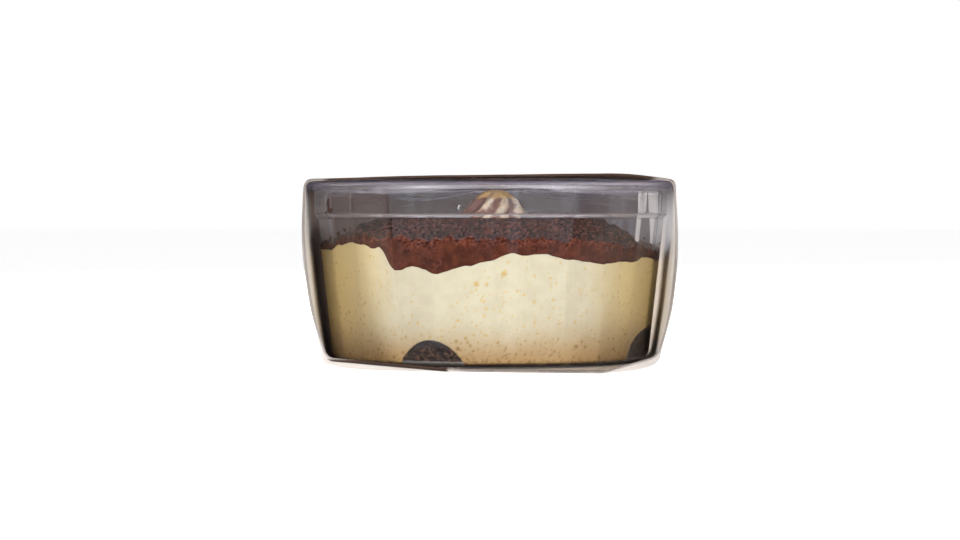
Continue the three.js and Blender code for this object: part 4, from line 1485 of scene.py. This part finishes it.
def card_finish():
    look = Finish("dark_card")
    # painted shade: the card glows with a brownish left half and a greyer right half, for the dark seen
    # through the headspace
    cloud = look.noise(20.0, 2.0)
    left = look.mix(cloud, screen(48, 32, 25), screen(84, 66, 60))
    right = look.mix(cloud, screen(70, 60, 60), screen(108, 98, 102))
    side = look.step(look.axes(look.place)["X"], -CARD["fade"], CARD["fade"])
    glow = look.out("ShaderNodeEmission", {"Color": look.mix(side, left, right), "Strength": 1.0})
    look.add("ShaderNodeOutputMaterial", {"Surface": glow})
    return look.material


square = [(x * FLOOR_REACH, y * FLOOR_REACH, 0) for x, y in ((-1, -1), (1, -1), (1, 1), (-1, 1))]
floor = sheet("floor", square, floor_finish())
floor.visible_glossy = False
upright = [(x * CARD["half"], CARD["y"], z * CARD["height"]) for x, z in ((-1, 0), (1, 0), (1, 1), (-1, 1))]
card = sheet("dark_card", upright, card_finish())
card.visible_camera = card.visible_glossy = card.visible_shadow = False

# %% [markdown]
# ## World
#
# The surroundings do three things. They light the pack evenly and dimly, because the lamps do the
# rest. Where nothing stands, the camera sees plain white. Reflections see something else again: a
# dim room with narrow bright bars, which a glossy pot shows as upright stripes.

# %% World
EVEN_LIGHT = {"front": 0.08, "back": 0.1}
MIRRORED_ROOM = {"scale": 3.2, "detail": 2.0, "steps": (0.42, 0.75, 0.1, 0.34)}
MIRRORED_BARS = {"scale": 90.0, "detail": 1.0, "steps": (0.48, 0.7, 0.12, 8.0)}
MIRROR_TINT = (0.8, 0.84, 1.0, 1.0)

world = bpy.data.worlds.new("studio")
scene.world = world
world.use_nodes = True
sky = Nodes(world.node_tree)
sky.tree.nodes.clear()
toward = sky.axes(sky.add("ShaderNodeTexCoord").outputs["Generated"])
bearing = sky.math("ARCTAN2", toward["X"], toward["Y"])


def round_the_horizon(scale, detail, steps):
    """Upright stripes, wherever a ray goes: noise of its bearing alone."""
    inputs = {"W": bearing, "Scale": scale, "Detail": detail}
    return sky.step(sky.out("ShaderNodeTexNoise", inputs, noise_dimensions="1D"), *steps)


even = sky.step(toward["Y"], 0.35, -0.45, EVEN_LIGHT["back"], EVEN_LIGHT["front"])
low_dims = sky.step(toward["Z"], -0.2, 0.0, 0.25, 1.0)
mirrored = sky.math("MULTIPLY", round_the_horizon(**MIRRORED_ROOM), low_dims)
mirrored = sky.math("MULTIPLY", mirrored, round_the_horizon(**MIRRORED_BARS))
ray = sky.add("ShaderNodeLightPath").outputs
strength = sky.out("ShaderNodeMix", {0: ray["Is Glossy Ray"], 2: even, 3: mirrored}, data_type="FLOAT")
strength = sky.out("ShaderNodeMix", {0: ray["Is Camera Ray"], 2: strength, 3: 1.0}, data_type="FLOAT")
tint = sky.mix(ray["Is Glossy Ray"], WHITE, MIRROR_TINT)
backdrop = sky.out("ShaderNodeBackground", {"Color": tint, "Strength": strength})
sky.add("ShaderNodeOutputWorld", {"Surface": backdrop})
print("the world has", len(sky.tree.nodes), "nodes")

# %% [markdown]
# ## Lamps
#
# Most of the light comes low from the front, as food in a sleeve only gets light through the open
# ends. Small lamps at several bearings light the round wall evenly, a stronger one stands behind
# on the left, a wide sun lights everything from above, and a very narrow spot picks out the swirl.

# %% Lamps
PACK_MIDDLE = (0.0, 0.0, 0.03)
AREA_LAMPS = {  # place, width, height and power
    "low_left": ((-0.62, -0.79, 0.07), 0.25, 0.1, 1.2),
    "low_right": ((0.37, -0.93, 0.07), 0.2, 0.1, 2.0),
    "mid_left": ((-0.78, -1.04, 0.12), 0.2, 0.1, 3.6),
    "mid_right": ((0.78, -1.04, 0.12), 0.2, 0.1, 3.0),
    "wide_left": ((-0.9, -0.9, 0.12), 0.2, 0.1, 2.6),
    "wide_right": ((1.0, -0.78, 0.12), 0.2, 0.1, 3.4),
    "soft_left": ((-0.62, -1.15, 0.27), 0.5, 0.12, 0.9),
    "soft_right": ((0.62, -1.15, 0.27), 0.5, 0.12, 0.4),
    "back_left": ((-0.5, 0.9, 0.2), 0.3, 0.3, 10.5),
}
SPOT = {"place": (0.08, -0.6, 0.06), "power": 2.4, "angle": 2.2, "blend": 0.6, "radius": 0.005}
SPOT_TARGET = Vector((SWIRL["x"], SWIRL["y"], 43.0)) * MM


def lamp(name, kind, place, target, **settings):
    """A lamp that hangs at a place and points at its target."""
    light = bpy.data.lights.new(name, kind)
    for label, value in settings.items():
        setattr(light, label, value)
    hung = bpy.data.objects.new(name, light)
    hung.location = place
    hung.rotation_euler = (Vector(target) - Vector(place)).to_track_quat("-Z", "Y").to_euler()
    scene.collection.objects.link(hung)
    return hung


sun = bpy.data.lights.new("overhead", "SUN")
sun.energy, sun.angle = 0.5, math.radians(45)
scene.collection.objects.link(bpy.data.objects.new("overhead", sun))
for name, (place, width, height, power) in AREA_LAMPS.items():
    lamp(name, "AREA", place, PACK_MIDDLE, shape="RECTANGLE", size=width, size_y=height, energy=power)
swirl_spot = lamp(
    "swirl_spot", "SPOT", SPOT["place"], SPOT_TARGET, energy=SPOT["power"],
    spot_size=math.radians(SPOT["angle"]), spot_blend=SPOT["blend"], shadow_soft_size=SPOT["radius"],
)
swirl_spot.visible_glossy = swirl_spot.visible_transmission = False
print(len(AREA_LAMPS) + 2, "lamps hang round the pack")

# %% [markdown]
# ## Camera
#
# The pack is seen through a long lens, from far away and almost level, 39 mm above the table. The
# lens is given as a length in pixels of a frame 960 pixels wide, because the place of the pot's
# axis and of the eye level in that frame turn into camera angles directly.

# %% Camera
VIEW_WIDTH, VIEW_HEIGHT = 960, 540
FOCAL_PIXELS = 2529.0
AXIS_PIXEL, EYE_PIXEL = 490.0, 214.6  # where the pot's axis and the eye level lie in the frame
EYE_DISTANCE = 0.675
EYE_HEIGHT = (SEAT + 38.5) * MM

camera_data = bpy.data.cameras.new("camera")
camera_data.sensor_width = 36.0
camera_data.lens = FOCAL_PIXELS / VIEW_WIDTH * camera_data.sensor_width
camera_data.clip_start, camera_data.clip_end = 0.01, 50
camera = bpy.data.objects.new("camera", camera_data)
camera.location = (0, -EYE_DISTANCE, EYE_HEIGHT)
turn_left = math.atan((AXIS_PIXEL - VIEW_WIDTH / 2) / FOCAL_PIXELS)
look_down = math.atan((VIEW_HEIGHT / 2 - EYE_PIXEL) / FOCAL_PIXELS)
camera.rotation_euler = (math.pi / 2 - look_down, 0, turn_left)
scene.collection.objects.link(camera)
scene.camera = camera
print(f"lens {camera_data.lens:.1f} mm, looking down {math.degrees(look_down):.2f} degrees")

# %% [markdown]
# Light has to pass many clear surfaces on its way through the film and both sides of the pot, so
# the limits on its bounces are raised. Caustics are switched off, as they would only add noise.

# %% Colours and light paths
scene.view_settings.view_transform = "Standard"
scene.cycles.use_denoising = True
scene.cycles.max_bounces = 16
scene.cycles.transmission_bounces = 14
scene.cycles.transparent_max_bounces = 24
scene.cycles.caustics_reflective = False
scene.cycles.caustics_refractive = False
